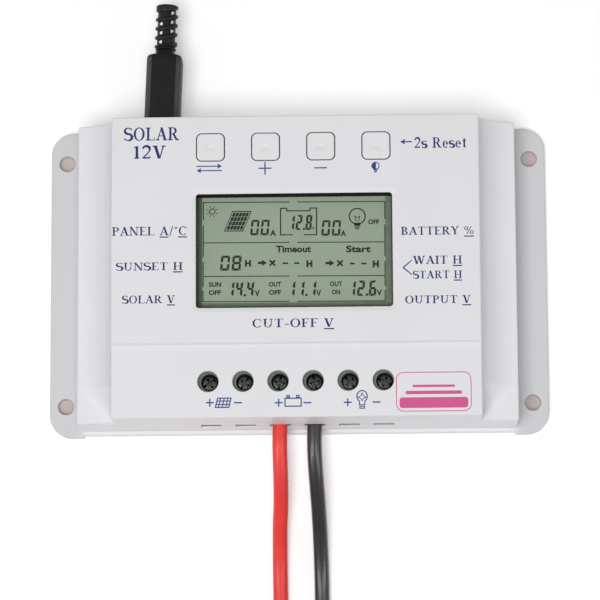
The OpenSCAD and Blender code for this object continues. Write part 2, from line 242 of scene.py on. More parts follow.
def moulded(name, base, rough=0.4, vary=0.04, blotch=9.0, grain=0.35, height=0.004, wave=0.0, wave_size=4.0,
            metallic=0.0, specular=0.5, coat=0.0, rough_vary=0.08, stretch=None, tint=None, edge=0.0):
    """Procedural finish: broad tone variation, uneven roughness, a fine grain and an optional long wave in the surface."""
    m, nt, bsdf, coords = node_mat(name)
    link, new = nt.links.new, nt.nodes.new
    tone = add_noise(nt, coords, blotch, 4.0, stretch)
    ramp = new("ShaderNodeValToRGB")
    lo = [max(0.0, c * (1 - vary)) for c in base]
    hi = [min(1.0, c * (1 + vary)) for c in (tint or base)]
    ramp.color_ramp.elements[0].position, ramp.color_ramp.elements[1].position = 0.3, 0.7
    ramp.color_ramp.elements[0].color, ramp.color_ramp.elements[1].color = (*lo, 1), (*hi, 1)
    link(tone.outputs["Fac"], ramp.inputs["Fac"])
    colour = ramp.outputs["Color"]
    if edge:
        # convex edges and corners are painted a little lighter
        geo = new("ShaderNodeNewGeometry")
        span = new("ShaderNodeMapRange")
        span.inputs["From Min"].default_value, span.inputs["From Max"].default_value = 0.52, 0.62
        span.inputs["To Min"].default_value, span.inputs["To Max"].default_value = 0.0, edge
        link(geo.outputs["Pointiness"], span.inputs["Value"])
        mix = new("ShaderNodeMix")
        mix.data_type = "RGBA"
        mix.inputs[7].default_value = (*[min(1.0, c * 1.5 + 0.03) for c in base], 1)
        link(span.outputs["Result"], mix.inputs[0])
        link(colour, mix.inputs[6])
        colour = mix.outputs[2]
    link(colour, bsdf.inputs["Base Color"])
    uneven = add_noise(nt, coords, blotch / 3, 3.0, stretch)
    span = new("ShaderNodeMapRange")
    span.inputs["To Min"].default_value = max(0.02, rough - rough_vary)
    span.inputs["To Max"].default_value = min(1.0, rough + rough_vary)
    link(uneven.outputs["Fac"], span.inputs["Value"])
    link(span.outputs["Result"], bsdf.inputs["Roughness"])
    fine = add_noise(nt, coords, grain, 2.0, stretch)
    bump = new("ShaderNodeBump")
    bump.inputs["Strength"].default_value = 1.0
    bump.inputs["Distance"].default_value = height * MM
    link(fine.outputs["Fac"], bump.inputs["Height"])
    normal = bump.outputs["Normal"]
    if wave:
        slow = add_noise(nt, coords, wave_size, 1.0)
        second = new("ShaderNodeBump")
        second.inputs["Strength"].default_value = 1.0
        second.inputs["Distance"].default_value = wave * MM
        link(slow.outputs["Fac"], second.inputs["Height"])
        link(normal, second.inputs["Normal"])
        normal = second.outputs["Normal"]
    link(normal, bsdf.inputs["Normal"])
    bsdf.inputs["Metallic"].default_value = metallic
    bsdf.inputs["Specular IOR Level"].default_value = specular
    bsdf.inputs["Coat Weight"].default_value = coat
    bsdf.inputs["Coat Roughness"].default_value = 0.12
    return m


def zone(m, colour, *ranges, soft=0.1):
    """Second tone in the part of a piece inside every (axis, lo, hi) range, in millimetres; |X| takes the size of x."""
    nt = m.node_tree
    link, new = nt.links.new, nt.nodes.new
    bsdf = nt.nodes["Principled BSDF"]
    coords = new("ShaderNodeTexCoord")
    split = new("ShaderNodeSeparateXYZ")
    link(coords.outputs["Object"], split.inputs["Vector"])
    mask = None
    for axis, lo, hi in ranges:
        value = split.outputs["XYZ".index(axis.strip("|"))]
        if axis.startswith("|"):
            size = new("ShaderNodeMath")
            size.operation = "ABSOLUTE"
            link(value, size.inputs[0])
            value = size.outputs[0]
        rise, fall, both = new("ShaderNodeMapRange"), new("ShaderNodeMapRange"), new("ShaderNodeMath")
        for node, at, u, v in ((rise, lo, 0.0, 1.0), (fall, hi, 1.0, 0.0)):
            node.inputs["From Min"].default_value, node.inputs["From Max"].default_value = (at - soft) * MM, (at + soft) * MM
            node.inputs["To Min"].default_value, node.inputs["To Max"].default_value = u, v
            link(value, node.inputs["Value"])
        both.operation = "MULTIPLY"
        link(rise.outputs[0], both.inputs[0])
        link(fall.outputs[0], both.inputs[1])
        if mask is None:
            mask = both.outputs[0]
        else:
            also = new("ShaderNodeMath")
            also.operation = "MULTIPLY"
            link(mask, also.inputs[0])
            link(both.outputs[0], also.inputs[1])
            mask = also.outputs[0]
    mix = new("ShaderNodeMix")
    mix.data_type = "RGBA"
    mix.inputs[7].default_value = (*colour, 1)
    link(mask, mix.inputs[0])
    link(bsdf.inputs["Base Color"].links[0].from_socket, mix.inputs[6])
    link(mix.outputs[2], bsdf.inputs["Base Color"])


def board_mat():
    """Solder mask over copper tracks, with rows of tinned pads."""
    m, nt, bsdf, coords = node_mat("board_mask")
    link, new = nt.links.new, nt.nodes.new
    tracks = new("ShaderNodeTexVoronoi")
    tracks.feature, tracks.distance = "DISTANCE_TO_EDGE", "CHEBYCHEV"
    tracks.feature = "F1"
    tracks.inputs["Scale"].default_value = 210
    link(coords.outputs["Object"], tracks.inputs["Vector"])
    ramp = new("ShaderNodeValToRGB")
    ramp.color_ramp.elements[0].position, ramp.color_ramp.elements[1].position = 0.30, 0.36
    ramp.color_ramp.elements[0].color = (0.012, 0.13, 0.045, 1)
    ramp.color_ramp.elements[1].color = (0.022, 0.21, 0.075, 1)
    link(tracks.outputs["Distance"], ramp.inputs["Fac"])
    link(ramp.outputs["Color"], bsdf.inputs["Base Color"])
    tone = add_noise(nt, coords, 3.0)
    span = new("ShaderNodeMapRange")
    span.inputs["To Min"].default_value, span.inputs["To Max"].default_value = 0.25, 0.42
    link(tone.outputs["Fac"], span.inputs["Value"])
    link(span.outputs["Result"], bsdf.inputs["Roughness"])
    bump = new("ShaderNodeBump")
    bump.inputs["Distance"].default_value = 0.03 * MM
    link(ramp.outputs["Color"], bump.inputs["Height"])
    link(bump.outputs["Normal"], bsdf.inputs["Normal"])
    return m


def brushed(name, base, rough=0.3, along=(1, 12, 1), height=0.01, vary=0.12, grain=0.5):
    return moulded(name, base, rough=rough, vary=vary, blotch=3.0, grain=grain, height=height, metallic=1.0, stretch=along, rough_vary=0.1)


M = {
    "case": moulded("case_plastic", (0.735, 0.735, 0.755), rough=0.42, vary=0.012, blotch=26, grain=0.45, height=0.0025, wave=0.006, wave_size=7, specular=0.4),
    "tray": moulded("plate_plastic", (0.735, 0.735, 0.75), rough=0.45, vary=0.012, blotch=22, grain=0.45, height=0.0025, wave=0.005, wave_size=8, specular=0.4),
    "key": moulded("key_plastic", (0.745, 0.745, 0.76), rough=0.36, vary=0.012, blotch=8, grain=0.35, height=0.002, specular=0.45),
    "print": moulded("legend_ink", (0.014, 0.024, 0.125), rough=0.55, vary=0.16, blotch=1.4, grain=0.12, height=0.002, tint=(0.022, 0.036, 0.165), specular=0.3),
    "icon": moulded("icon_ink", (0.012, 0.048, 0.19), rough=0.55, vary=0.14, blotch=1.2, grain=0.12, height=0.002, tint=(0.018, 0.062, 0.23), specular=0.3),
    "pink": moulded("decal_ink", (0.62, 0.085, 0.25), rough=0.42, vary=0.05, blotch=2.5, grain=0.1, height=0.001),
    "steel": brushed("plated_steel", (0.62, 0.62, 0.63), rough=0.28),
    "dark_steel": moulded("screw_steel", (0.10, 0.106, 0.103), rough=0.34, vary=0.55, blotch=0.7, grain=0.12, height=0.012, metallic=1.0, rough_vary=0.16),
    "cage": brushed("cage_steel", (0.55, 0.55, 0.56), rough=0.34, along=(1, 1, 14)),
    "alu": brushed("drawn_aluminium", (0.74, 0.75, 0.76), rough=0.3, along=(1, 16, 1)),
    "board": board_mat(),
    "component": moulded("component_epoxy", (0.022, 0.022, 0.024), rough=0.55, vary=0.25, blotch=1.5, grain=0.08, height=0.004),
    "capacitor": moulded("capacitor_sleeve", (0.02, 0.035, 0.10), rough=0.25, vary=0.12, blotch=4, grain=0.5, height=0.002, coat=0.4),
    "fuse": moulded("fuse_plastic", (0.72, 0.10, 0.03), rough=0.2, vary=0.08, blotch=3, grain=0.4, height=0.002, coat=0.3),
    "terminal": moulded("terminal_polyamide", (0.115, 0.145, 0.122), rough=0.5, vary=0.12, blotch=2, grain=0.2, height=0.006, edge=0.4),
    "brass": brushed("tinned_brass", (0.66, 0.60, 0.47), rough=0.3, along=(1, 8, 1)),
    "foam": moulded("gasket_foam", (0.012, 0.013, 0.013), rough=0.92, vary=0.35, blotch=0.6, grain=0.12, height=0.03, specular=0.15),
    "holder": moulded("display_holder", (0.62, 0.63, 0.60), rough=0.5, vary=0.04, blotch=6, grain=0.3, height=0.004),
    "diffuser": moulded("diffuser_acrylic", (0.62, 0.72, 0.58), rough=0.35, vary=0.04, blotch=2, grain=0.4, height=0.012),
    "plug": moulded("plug_plastic", (0.0065, 0.0065, 0.0075), rough=0.5, vary=0.25, blotch=2.2, grain=0.18, height=0.006, specular=0.28, edge=0.12),
    # lighter black for the plug's long chamfers: painted reflection
    "bevel": moulded("plug_bevel", (0.045, 0.045, 0.046), rough=0.4, vary=0.25, blotch=2.2, grain=0.18, height=0.006, specular=0.4),
    "boot": moulded("boot_pvc", (0.008, 0.008, 0.009), rough=0.5, vary=0.3, blotch=1.6, grain=0.15, height=0.008, specular=0.35),
    "copper": moulded("copper_strands", (0.72, 0.30, 0.14), rough=0.3, vary=0.2, blotch=0.5, grain=0.14, height=0.05, metallic=1.0, stretch=(6, 0.4, 6)),
    "red": moulded("red_pvc", (0.76, 0.042, 0.034), rough=0.36, vary=0.07, blotch=6, grain=0.4, height=0.004, specular=0.35, coat=0.05),
    "black": moulded("black_pvc", (0.022, 0.022, 0.025), rough=0.30, vary=0.22, blotch=5, grain=0.4, height=0.004, specular=0.5, coat=0.25),
    "vinyl_red": moulded("terminal_vinyl_red", (0.55, 0.03, 0.03), rough=0.3, vary=0.1, blotch=2, grain=0.3, height=0.006, coat=0.2),
    "vinyl_black": moulded("terminal_vinyl_black", (0.02, 0.02, 0.022), rough=0.35, vary=0.2, blotch=2, grain=0.3, height=0.006, coat=0.2),
    "tin": brushed("tinned_copper", (0.72, 0.70, 0.66), rough=0.27, along=(1, 1, 1), vary=0.08),
    "nylon": moulded("tie_nylon", (0.02, 0.02, 0.02), rough=0.45, vary=0.2, blotch=1.5, grain=0.25, height=0.01),
    "lcd": moulded("lcd_glass_green", (0.300, 0.358, 0.272), rough=0.32, vary=0.03, blotch=14, grain=0.12, height=0.001, specular=0.35),
    "lcd_dark": moulded("lcd_segment", (0.014, 0.019, 0.014), rough=0.5, vary=0.2, blotch=1.0, grain=0.12, height=0.001, specular=0.3),
    "lcd_line": moulded("lcd_line", (0.040, 0.058, 0.038), rough=0.5, vary=0.12, blotch=2.0, grain=0.12, height=0.001, specular=0.3),
    # painted shadow of the window's walls on the display glass: a dark strip and a lighter one
    "lcd_edge": moulded("lcd_edge_dark", (0.078, 0.106, 0.070), rough=0.4, vary=0.10, blotch=3.0, grain=0.12, height=0.001, specular=0.3),
    "lcd_side": moulded("lcd_edge_mid", (0.145, 0.180, 0.130), rough=0.4, vary=0.08, blotch=3.0, grain=0.12, height=0.001, specular=0.3),
}


# the ears are painted a little darker than the rim
zone(M["tray"], (0.60, 0.60, 0.613), ("|X|", 64.6, 90), ("Z", 1.8, 9), soft=1.2)
# painted shade: the key's sides and flange below its front are darkened as the shadow in the gap round the key
zone(M["key"], (0.02, 0.02, 0.021), ("Z", 20.0, 31.2), soft=0.25)
# painted shade: the cover's upper wall of the display window, above the foam, is darkened nearly black
zone(M["case"], (0.10, 0.10, 0.103), ("Z", 29.8, 31.80), ("Y", 30.4, 40.0), ("|X|", -1, 29.5), soft=0.08)
# painted shade and light: the black foam surround keeps its black along the window's top edge and is painted a lighter
# green-grey elsewhere, like the shaded glass beside it
zone(M["foam"], (0.045, 0.058, 0.040), ("Y", -30.0, 20.2), soft=0.6)


def dress(ob, key, body="case", ride=True):
    ob.data.materials.clear()
    ob.data.materials.append(M[key])
    if ride:
        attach(ob, body)
    return ob


def body_of_node(node):
    for name, members in frame["record"]["behaviour"]["bodies"].items():
        if node in members:
            return name
    return "case"


# ---------------------------------------------------------------- battery leads
LEAD_D = 4.4
RED = [(-5.4, -38, 12), (-5.4, -44, 12), (-5.5, -50, 11.9), (-5.4, -56, 11.2), (-5.3, -62, 9.8), (-5.4, -68, 7.8),
       (-5.7, -74, 5.6), (-5.8, -80, 3.9), (-5.8, -88, 2.6), (-5.7, -97, 2.3), (-5.7, -106, 2.3), (-5.7, -115, 2.4),
       (-5.8, -124, 2.6), (-5.8, -130, 2.7)]
BLACK = [(4.8, -38, 12), (4.8, -44, 12), (4.7, -50, 11.9), (4.9, -56, 11.2), (5.3, -62, 9.8), (5.7, -68, 7.8),
         (6.0, -74, 5.6), (6.2, -80, 3.9), (6.4, -88, 2.6), (6.5, -97, 2.3), (6.5, -106, 2.3), (6.4, -115, 2.4),
         (6.4, -124, 2.6), (6.4, -130, 2.7)]
TAIL = [(-142, 7.2), (-147, 6.6), (-151.5, 5.3), (-155.5, 4.0), (-159.5, 3.3), (-168, 3.3)]
COIL_Y, TURNS, PER_TURN = -136.0, 5, 24


def eased(u):
    """0 to 1, straight in the middle and rounded at its ends."""
    u = min(1.0, max(0.0, u))
    e = 0.18
    full = 1 - e
    if u < e:
        return u * u / (2 * e * full)
    if u > 1 - e:
        return 1 - (1 - u) ** 2 / (2 * e * full)
    return (u - e / 2) / full


def coil_path(cx, x_in):
    """Three turns inwards on the floor, up, and two turns outwards on top of them."""
    side = 1 if x_in > cx else -1
    first = abs(x_in - cx)
    step = 4.6
    out = []
    for i in range(TURNS * PER_TURN + 1):
        t = 360.0 * i / PER_TURN
        k = min(int(t // 360), TURNS - 1)
        left = 360 * (k + 1) - t
        r, z = first, 2.7
        if k <= 2:
            r = first - step * min(k, 2)
            if k < 2:
                r -= step * eased((46 - left) / 38)
            else:
                z += 4.5 * eased((84 - left) / 38)
        else:
            z = 7.2
            r = first - step * (5 - k)
            r += step * eased((122 - left) / 38)
        a = math.radians(t)
        out.append((cx + side * r * math.cos(a), COIL_Y - r * math.sin(a), z))
    return out


def lead(name, route, cx, key):
    x_in = route[-1][0]
    points = route + coil_path(cx, x_in) + [(x_in, y, z) for y, z in TAIL]
    curve = bpy.data.curves.new(name, "CURVE")
    curve.dimensions = "3D"
    curve.bevel_depth = LEAD_D / 2 * MM
    curve.bevel_resolution = 8
    curve.resolution_u = 6
    curve.use_fill_caps = True
    spline = curve.splines.new("BEZIER")
    spline.bezier_points.add(len(points) - 1)
    for bp, p in zip(spline.bezier_points, points):
        bp.co = [c * MM for c in p]
        bp.handle_left_type = bp.handle_right_type = "AUTO"
    curve.materials.append(M[key])
    ob = bpy.data.objects.new(name, curve)
    scene.collection.objects.link(ob)
    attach(ob, "case")
    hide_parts(name.replace("_cable", "_lead"), name.replace("_cable", "_coil"))
    return ob


def ring_terminal(colour, x):
    """Crimped vinyl sleeve with a bell mouth, and a tinned ring tongue."""
    z = mid_mm(colour + "_ring_terminal")[2]
    turn_to_y = Matrix.Translation((x, 0, z)) @ Matrix.Rotation(math.radians(90), 4, "X")
    # profile along the lead, from the mouth to the closed end; z here runs towards -Y
    outer = [(2.55, 160.95), (3.12, 161.0), (3.2, 161.25), (3.15, 162.2), (2.95, 163.1), (2.9, 164.6), (2.62, 165.2), (2.62, 166.0),
             (2.9, 166.6), (2.9, 167.6), (2.62, 168.2), (2.62, 168.9), (2.88, 169.5), (2.75, 170.6), (2.4, 171.0), (1.6, 171.0)]
    inner = [(1.6, 169.4), (2.24, 169.0), (2.24, 162.5), (2.55, 160.95)]
    loops = [at_z(disc(r, n=40), h) for r, h in outer + inner[:-1]]
    sleeve = mesh_obj(colour + "_terminal_sleeve", *moved(loft(loops, ring=True), turn_to_y))
    tidy(sleeve, 50)
    dress(sleeve, "vinyl_" + colour)
    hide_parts(colour + "_ring_terminal")
    # the tongue and ring, 0.9 thick
    y_ring, r_out = -177.5, 4.8
    half = 2.2
    a0 = math.degrees(math.asin(half / r_out))
    outline = [(x - half, -170.2), (x - half, y_ring + r_out * math.cos(math.radians(a0)))]
    steps = 40
    for k in range(1, steps):
        a = math.radians(90 + a0 + (360 - 2 * a0) * k / steps)
        outline.append((x + r_out * math.cos(a), y_ring + r_out * math.sin(a)))
    outline += [(x + half, y_ring + r_out * math.cos(math.radians(a0))), (x + half, -170.2)]
    ring = mesh_obj(colour + "_terminal_ring", *loft([at_z(outline, z - 0.45), at_z(outline, z + 0.45)]))
    boolean(ring, [loft([at_z(disc(2.65, x, y_ring), z - 2), at_z(disc(2.65, x, y_ring), z + 2)])])
    tidy(ring, 40, bevel=0.12)
    dress(ring, "tin")
    return [sleeve, ring]


def taut(points):
    """Convex outline round some points in the XZ plane, with long sides cut into short ones."""
    points = sorted(set((round(x, 5), round(z, 5)) for x, z in points))
    hull = []
    for pts in (points, points[::-1]):
        part = []
        for p in pts:
            while len(part) > 1 and (part[-1][0] - part[-2][0]) * (p[1] - part[-2][1]) - (part[-1][1] - part[-2][1]) * (p[0] - part[-2][0]) <= 1e-9:
                part.pop()
            part.append(p)
        hull += part[:-1]
    out = []
    for (x0, z0), (x1, z1) in zip(hull, hull[1:] + hull[:1]):
        steps = max(1, round(math.hypot(x1 - x0, z1 - z0) / 1.2))
        out += [(x0 + (x1 - x0) * k / steps, z0 + (z1 - z0) * k / steps) for k in range(steps)]
    return out


def tie(name, cx, cy):
    """Narrow strap wrapped round the coil's section, with its ratchet head."""
    side = -1 if cx < 0 else 1
    # taut round the strands of the coil's section, the outer column having only its lower one
    path = taut([(cx + side * dx + 2.4 * math.cos(math.radians(a)), dz + 2.4 * math.sin(math.radians(a)))
                 for dx, dz in ((4.6, 2.7), (0, 2.7), (-4.6, 2.7), (0, 7.2), (-4.6, 7.2)) for a in range(0, 360, 12)])
    loops = []
    n = len(path)
    for i in range(n):
        (x0, z0), (x1, z1), (x2, z2) = path[i - 1], path[i], path[(i + 1) % n]
        tx, tz = x2 - x0, z2 - z0
        s = math.hypot(tx, tz)
        nx, nz = tz / s, -tx / s
        ring = []
        for u, v in ((-0.24, -1.7), (-0.24, 1.7), (-0.12, 1.9), (0.12, 1.9), (0.24, 1.7), (0.24, -1.7), (0.12, -1.9), (-0.12, -1.9)):
            ring.append((x1 + nx * u, cy + v, z1 + nz * u))
        loops.append(ring)
    strap = loft(loops, ring=True)
    # the head is on the outer side of the coil
    hx = cx + side * 7.0
    head = loft([[(hx + side * d, cy + v, 2.8 + u) for u, v in rrect(3.2 - 2 * s, 4.6 - 2 * s, 0.5, n=3)]
                 for d, s in ((-0.28, 0.15), (-0.15, 0.0), (0.9, 0.0), (1.05, 0.15))])
    ob = mesh_obj(name, *merge([strap, head]))
    tidy(ob, 40)
    dress(ob, "nylon")
    return ob


red_end = ring_terminal("red", RED[-1][0])
black_end = ring_terminal("black", BLACK[-1][0])
lead("red_cable", RED, -35.0, "red")
lead("black_cable", BLACK, 35.6, "black")
tie_a = tie("coil_tie_red", -59.6, COIL_Y)
tie_b = tie("coil_tie_black", 60.2, COIL_Y)
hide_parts("coil_ties")


# ---------------------------------------------------------------- case
(c_lo, c_hi) = box_mm("top_cover")
HX, HY, TOP = c_hi[0], c_hi[1], c_hi[2]          # 64.6, 44.5, 32
LOW_TOP = TOP - 1.0
FRONT_X, LEDGE, COVE = 53.8, 20.0, 11.0
RUN_Y, STEP_Y = -34.0, -22.9
g_lo, g_hi = box_mm("lcd_gasket")
WIN_X, WIN_Y = (g_lo[0] + g_hi[0]) / 2, (g_lo[1] + g_hi[1]) / 2
WIN_W, WIN_H = 56.6, 33.0
KEYS = {k: mid_mm("key_" + k) for k in ("swap", "plus", "minus", "lamp")}
POLES = ["pv_plus", "pv_minus", "battery_plus", "battery_minus", "load_plus", "load_minus"]
SCREWS = {p: mid_mm(p + "_screw") for p in POLES}
HOLE_X = [SCREWS[p][0] - 0.4 for p in POLES]
POLE_Y = SCREWS["pv_plus"][1]
LEAN = math.radians(2.4)
JACK = Matrix.Translation((-40.08, HY, 15)) @ Matrix.Rotation(-LEAN, 4, "Z")


def smooth(u):
    u = min(1.0, max(0.0, u))
    return u * u * (3 - 2 * u)


def section(y, d, bottom, step_shift=0.0):
    """Cross-section of the cover at y, drawn in by d: up the right side, across the front and down the left."""
    zt = LOW_TOP + (TOP - LOW_TOP) * smooth((y - (STEP_Y + step_shift) + 0.42) / 0.84) - d
    t = min(1.0, max(0.0, (RUN_Y - y) / (HY + RUN_Y)))
    R = max(0.55, COVE * (1 - t))
    xo, zl, xw = HX - d, LEDGE - d, FRONT_X - d
    cx, cz, rr = FRONT_X + R, LEDGE + R, R + d
    f1, f2 = 0.35, 0.55
    pts = [(xo, bottom)]
    for k in range(6):
        a = math.radians(90 * k / 5)
        pts.append((xo - f1 + f1 * math.cos(a), zl - f1 + f1 * math.sin(a)))
    b0 = math.asin(min(1.0, max(0.0, (cx - (xo - f1 - 0.03)) / rr)))
    b1 = math.acos(min(1.0, max(0.0, (cz - (zt - f2 - 0.02)) / rr)))
    for k in range(29):
        b = b0 + (b1 - b0) * k / 28
        pts.append((cx - rr * math.sin(b), cz - rr * math.cos(b)))
    for k in range(8):
        a = math.radians(90 * k / 7)
        pts.append((xw - f2 + f2 * math.cos(a), zt - f2 + f2 * math.sin(a)))
    return [(x, y, z) for x, z in pts] + [(-x, y, z) for x, z in reversed(pts)]


def stations(y_end):
    out = []
    edge = 0.45
    for k in range(7):
        a = math.pi / 2 * k / 6
        out.append((-(y_end - edge) - edge * math.cos(a), edge * (1 - math.sin(a))))
    lo = -(y_end - edge)
    for k in range(1, 22):
        out.append((lo + (RUN_Y - lo) * k / 21, 0.0))
    for y in (-31.0, -27.0, -23.9):
        out.append((y, 0.0))
    for k in range(9):
        out.append((STEP_Y - 0.42 + 0.84 * k / 8, 0.0))
    for y in (-21.5, -15, -5, 5, 15, 25, 35, 41):
        out.append((y, 0.0))
    for k in range(6, -1, -1):
        a = math.pi / 2 * k / 6
        out.append(((y_end - edge) + edge * math.cos(a), edge * (1 - math.sin(a))))
    return out


def post(x, y, r, z0, z1):
    return loft([at_z(disc(r, x, y, 40), z0), at_z(disc(r, x, y, 40), z1)])


def build_cover():
    cover = mesh_obj("cover", *loft([section(y, d, 3.0) for y, d in stations(HY)]))
    # the hollow, with its screw posts, display posts and the collar round the window left standing
    ys = [-42.5] + [y for y, d in stations(HY) if abs(y) < 42.4 and not -24 < y < -21.6] + [42.5]
    ys = sorted(set(ys) | {STEP_Y + 2 - 0.42 + 0.84 * k / 6 for k in range(7)})
    hollow = mesh_obj("hollow", *loft([section(y, 2.0, 2.0, 2.0) for y in ys]))
    posts = [post(sx * 58.5, sy * 38.5, 3.4, 1.0, 31.0) for sx in (-1, 1) for sy in (-1, 1)]
    posts += [post(x, y, 3.0, 22.6, 33.0) for x in (-48, 48) for y in (37, -13)]
    boolean(hollow, posts)
    opening = rrect(WIN_W + 0.8, WIN_H + 0.8, 1.0, WIN_X, WIN_Y)
    collar = mesh_obj("collar", *loft([at_z(rrect(WIN_W + 4, WIN_H + 4, 1.2, WIN_X, WIN_Y), z) for z in (28.1, 33.0)]))
    boolean(collar, [loft([at_z(opening, 20), at_z(opening, 40)])])
    m = hollow.modifiers.new("cut", "BOOLEAN")
    m.object, m.operation, m.solver = collar, "DIFFERENCE", "EXACT"
    bake(hollow)
    bpy.data.objects.remove(collar)
    m = cover.modifiers.new("cut", "BOOLEAN")
    m.object, m.operation, m.solver = hollow, "DIFFERENCE", "EXACT"
    bake(cover)
    bpy.data.objects.remove(hollow)
    # pilot holes for the screws from behind
    pilots = [post(sx * 58.5, sy * 38.5, 1.5, 1.5, 16.0) for sx in (-1, 1) for sy in (-1, 1)]
    pilots += [post(x, y, 1.2, 20.5, 30.5) for x in (-48, 48) for y in (37, -13)]
    boolean(cover, pilots)
    # window through the front, then its shallow rim
    w, h = WIN_W + 0.8, WIN_H + 0.8
    boolean(cover, [loft([at_z(opening, 20), at_z(opening, 40)])])
    rim = [at_z(rrect(w - 1.0, h - 1.0, 0.6, WIN_X, WIN_Y), TOP - 0.40)]
    for grow, drop in ((0.05, 0.35), (0.12, 0.29), (0.4, 0.22), (0.7, 0.15), (0.95, 0.08), (1.15, 0.035), (1.35, 0.008), (1.5, -0.002)):
        rim.append(at_z(rrect(w + 2 * grow, h + 2 * grow, 1.0 + grow * 0.9, WIN_X, WIN_Y), TOP - drop))
    rim.append(at_z(rrect(w + 3.0, h + 3.0, 2.35, WIN_X, WIN_Y), TOP + 1))
    boolean(cover, [loft(rim)])
    holes = []
    for k, c in KEYS.items():
        holes.append(flare(lambda d, c=c: rrect(8.5 + 2 * d, 8.5 + 2 * d, 1.7 + d, c[0], c[1], n=10), 22, TOP, 0.08))
    for x in HOLE_X:
        holes.append(flare(lambda d, x=x: disc(3.075 + d, x, POLE_Y, 72), 27.5, LOW_TOP, 0.3))
    boolean(cover, holes)
    # wire entries in the lower wall and the jack's hole in the upper wall
    to_wall = Matrix.Translation((0, 0, 0)) @ Matrix.Rotation(math.radians(90), 4, "X")
    entries = [moved(flare(lambda d, x=x: rrect(6 + 2 * d, 6 + 2 * d, 0.5 + d, x, 12.0, n=4), 41.2, HY, 0.3), to_wall) for x in HOLE_X]
    boolean(cover, entries)
    pockets = [loft([at_z(rrect(8.2, 8.6, 1.0, x, 11.1, n=4), z) for z in (41.6, HY - 0.55)]) for x in HOLE_X]
    boolean(cover, [moved(p, to_wall) for p in pockets])
    to_jack = JACK @ Matrix.Rotation(math.radians(-90), 4, "X")
    boolean(cover, [moved(flare(lambda d: disc(4.1 + d), -4.0, 0.02, 0.3), to_jack)])
    tidy(cover, 34)
    dress(cover, "case")
    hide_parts("top_cover")
    return cover


def plate_loop(d, z, half_w, half_h, r):
    """Outline of the back plate drawn in by d: full-height ears and a slightly narrower middle."""
    n, narrow, step_x = 10, 45.7, 64.0
    pts = []
    for k in range(n + 1):
        a = math.radians(90 * k / n)
        pts.append((half_w - r + (r - d) * math.cos(a), half_h - r + (r - d) * math.sin(a)))
    pts.append((step_x + d + 0.25, half_h - d))
    pts.append((step_x + d, half_h - d - 0.25))
    pts.append((step_x + d, narrow - d + 0.15))
    pts.append((step_x + d - 0.15, narrow - d))
    quarter = list(pts)
    loop = quarter + [(-x, y) for x, y in reversed(quarter)] + [(-x, -y) for x, y in quarter] + [(x, -y) for x, y in reversed(quarter)]
    return at_z(loop, z)


def build_tray():
    t_lo, t_hi = box_mm("base_tray")
    hw, hh, r = t_hi[0], t_hi[1], 6.8
    loops = []
    for k in range(4):
        a = math.pi / 2 * k / 3
        loops.append(plate_loop(0.3 * (1 - math.sin(a)), 0.3 - 0.3 * math.cos(a), hw, hh, r))
    for k in range(7):
        a = math.pi / 2 * k / 6
        loops.append(plate_loop(0.55 * (1 - math.cos(a)), 2.45 + 0.55 * math.sin(a), hw, hh, r))
    tray = mesh_obj("back_plate", *loft(loops))
    # locating rib and board posts
    x1, y1 = HX - 2.2, HY - 2.2
    rib = [loft([at_z(rrect(2 * x1 - 2 * s, 2 * y1 - 2 * s, 0.6, n=3), z) for z, s in ((2.6, 0), (4.8, 0), (5.0, 0.2))])]
    inner = mesh_obj("rib", *merge(rib))
    boolean(inner, [loft([at_z(rrect(2 * x1 - 3, 2 * y1 - 3, 0.4, n=3), z) for z in (2.0, 6.0)])])
    m = tray.modifiers.new("join", "BOOLEAN")
    m.object, m.operation, m.solver = inner, "UNION", "EXACT"
    bake(tray)
    bpy.data.objects.remove(inner)
    stands = [(-54, 20), (54, 24), (-54, -22), (54, -22), (0, 36), (0, -21)]
    boolean(tray, [post(x, y, 3.5, 2.5, 5.4) for x, y in stands], "UNION")
    boolean(tray, [post(x, y, 1.5, 1.2, 7.0) for x, y in stands])
    # wall holes with a soft rim front and back
    wall = []
    for sx in (-1, 1):
        for sy in (-1, 1):
            cx, cy = sx * 69.5, sy * 37.0
            loops = [at_z(disc(2.35 + 0.25, cx, cy), -1.0), at_z(disc(2.35 + 0.25, cx, cy), -0.002)]
            for k in range(1, 5):
                a = math.pi / 2 * k / 4
                loops.append(at_z(disc(2.35 + 0.25 * (1 - math.sin(a)), cx, cy), 0.25 - 0.25 * math.cos(a)))
            for k in range(1, 6):
                a = math.pi / 2 * k / 5
                loops.append(at_z(disc(2.35 + 0.35 * (1 - math.cos(a)), cx, cy), 2.65 + 0.35 * math.sin(a) + (0.002 if k == 5 else 0)))
            loops.append(at_z(disc(2.7, cx, cy), 4.0))
            wall.append(loft(loops))
    boolean(tray, wall)
    # stepped holes of the case screws, clearance round the posts, and cooling slots
    wells = [turned([(3.2, -1), (3.2, 1.8), (1.7, 1.8), (1.7, 2.99), (3.7, 2.995), (3.7, 6)], 40)]
    boolean(tray, [moved(wells[0], Matrix.Translation((sx * 58.5, sy * 38.5, 0))) for sx in (-1, 1) for sy in (-1, 1)])
    slots = [loft([at_z(rrect(2, 24, 0.999, 16 + 5 * i, 0, n=6), z) for z in (-1, 4)]) for i in range(-4, 5)]
    boolean(tray, slots)
    tidy(tray, 34)
    dress(tray, "tray")
    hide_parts("base_tray")
    return tray


build_cover()
build_tray()


# ---------------------------------------------------------------- keys
def radial(points, cx, cy, r):
    out = []
    for x, y in points:
        a = math.atan2(y - cy, x - cx)
        out.append((cx + r * math.cos(a), cy + r * math.sin(a)))
    return out


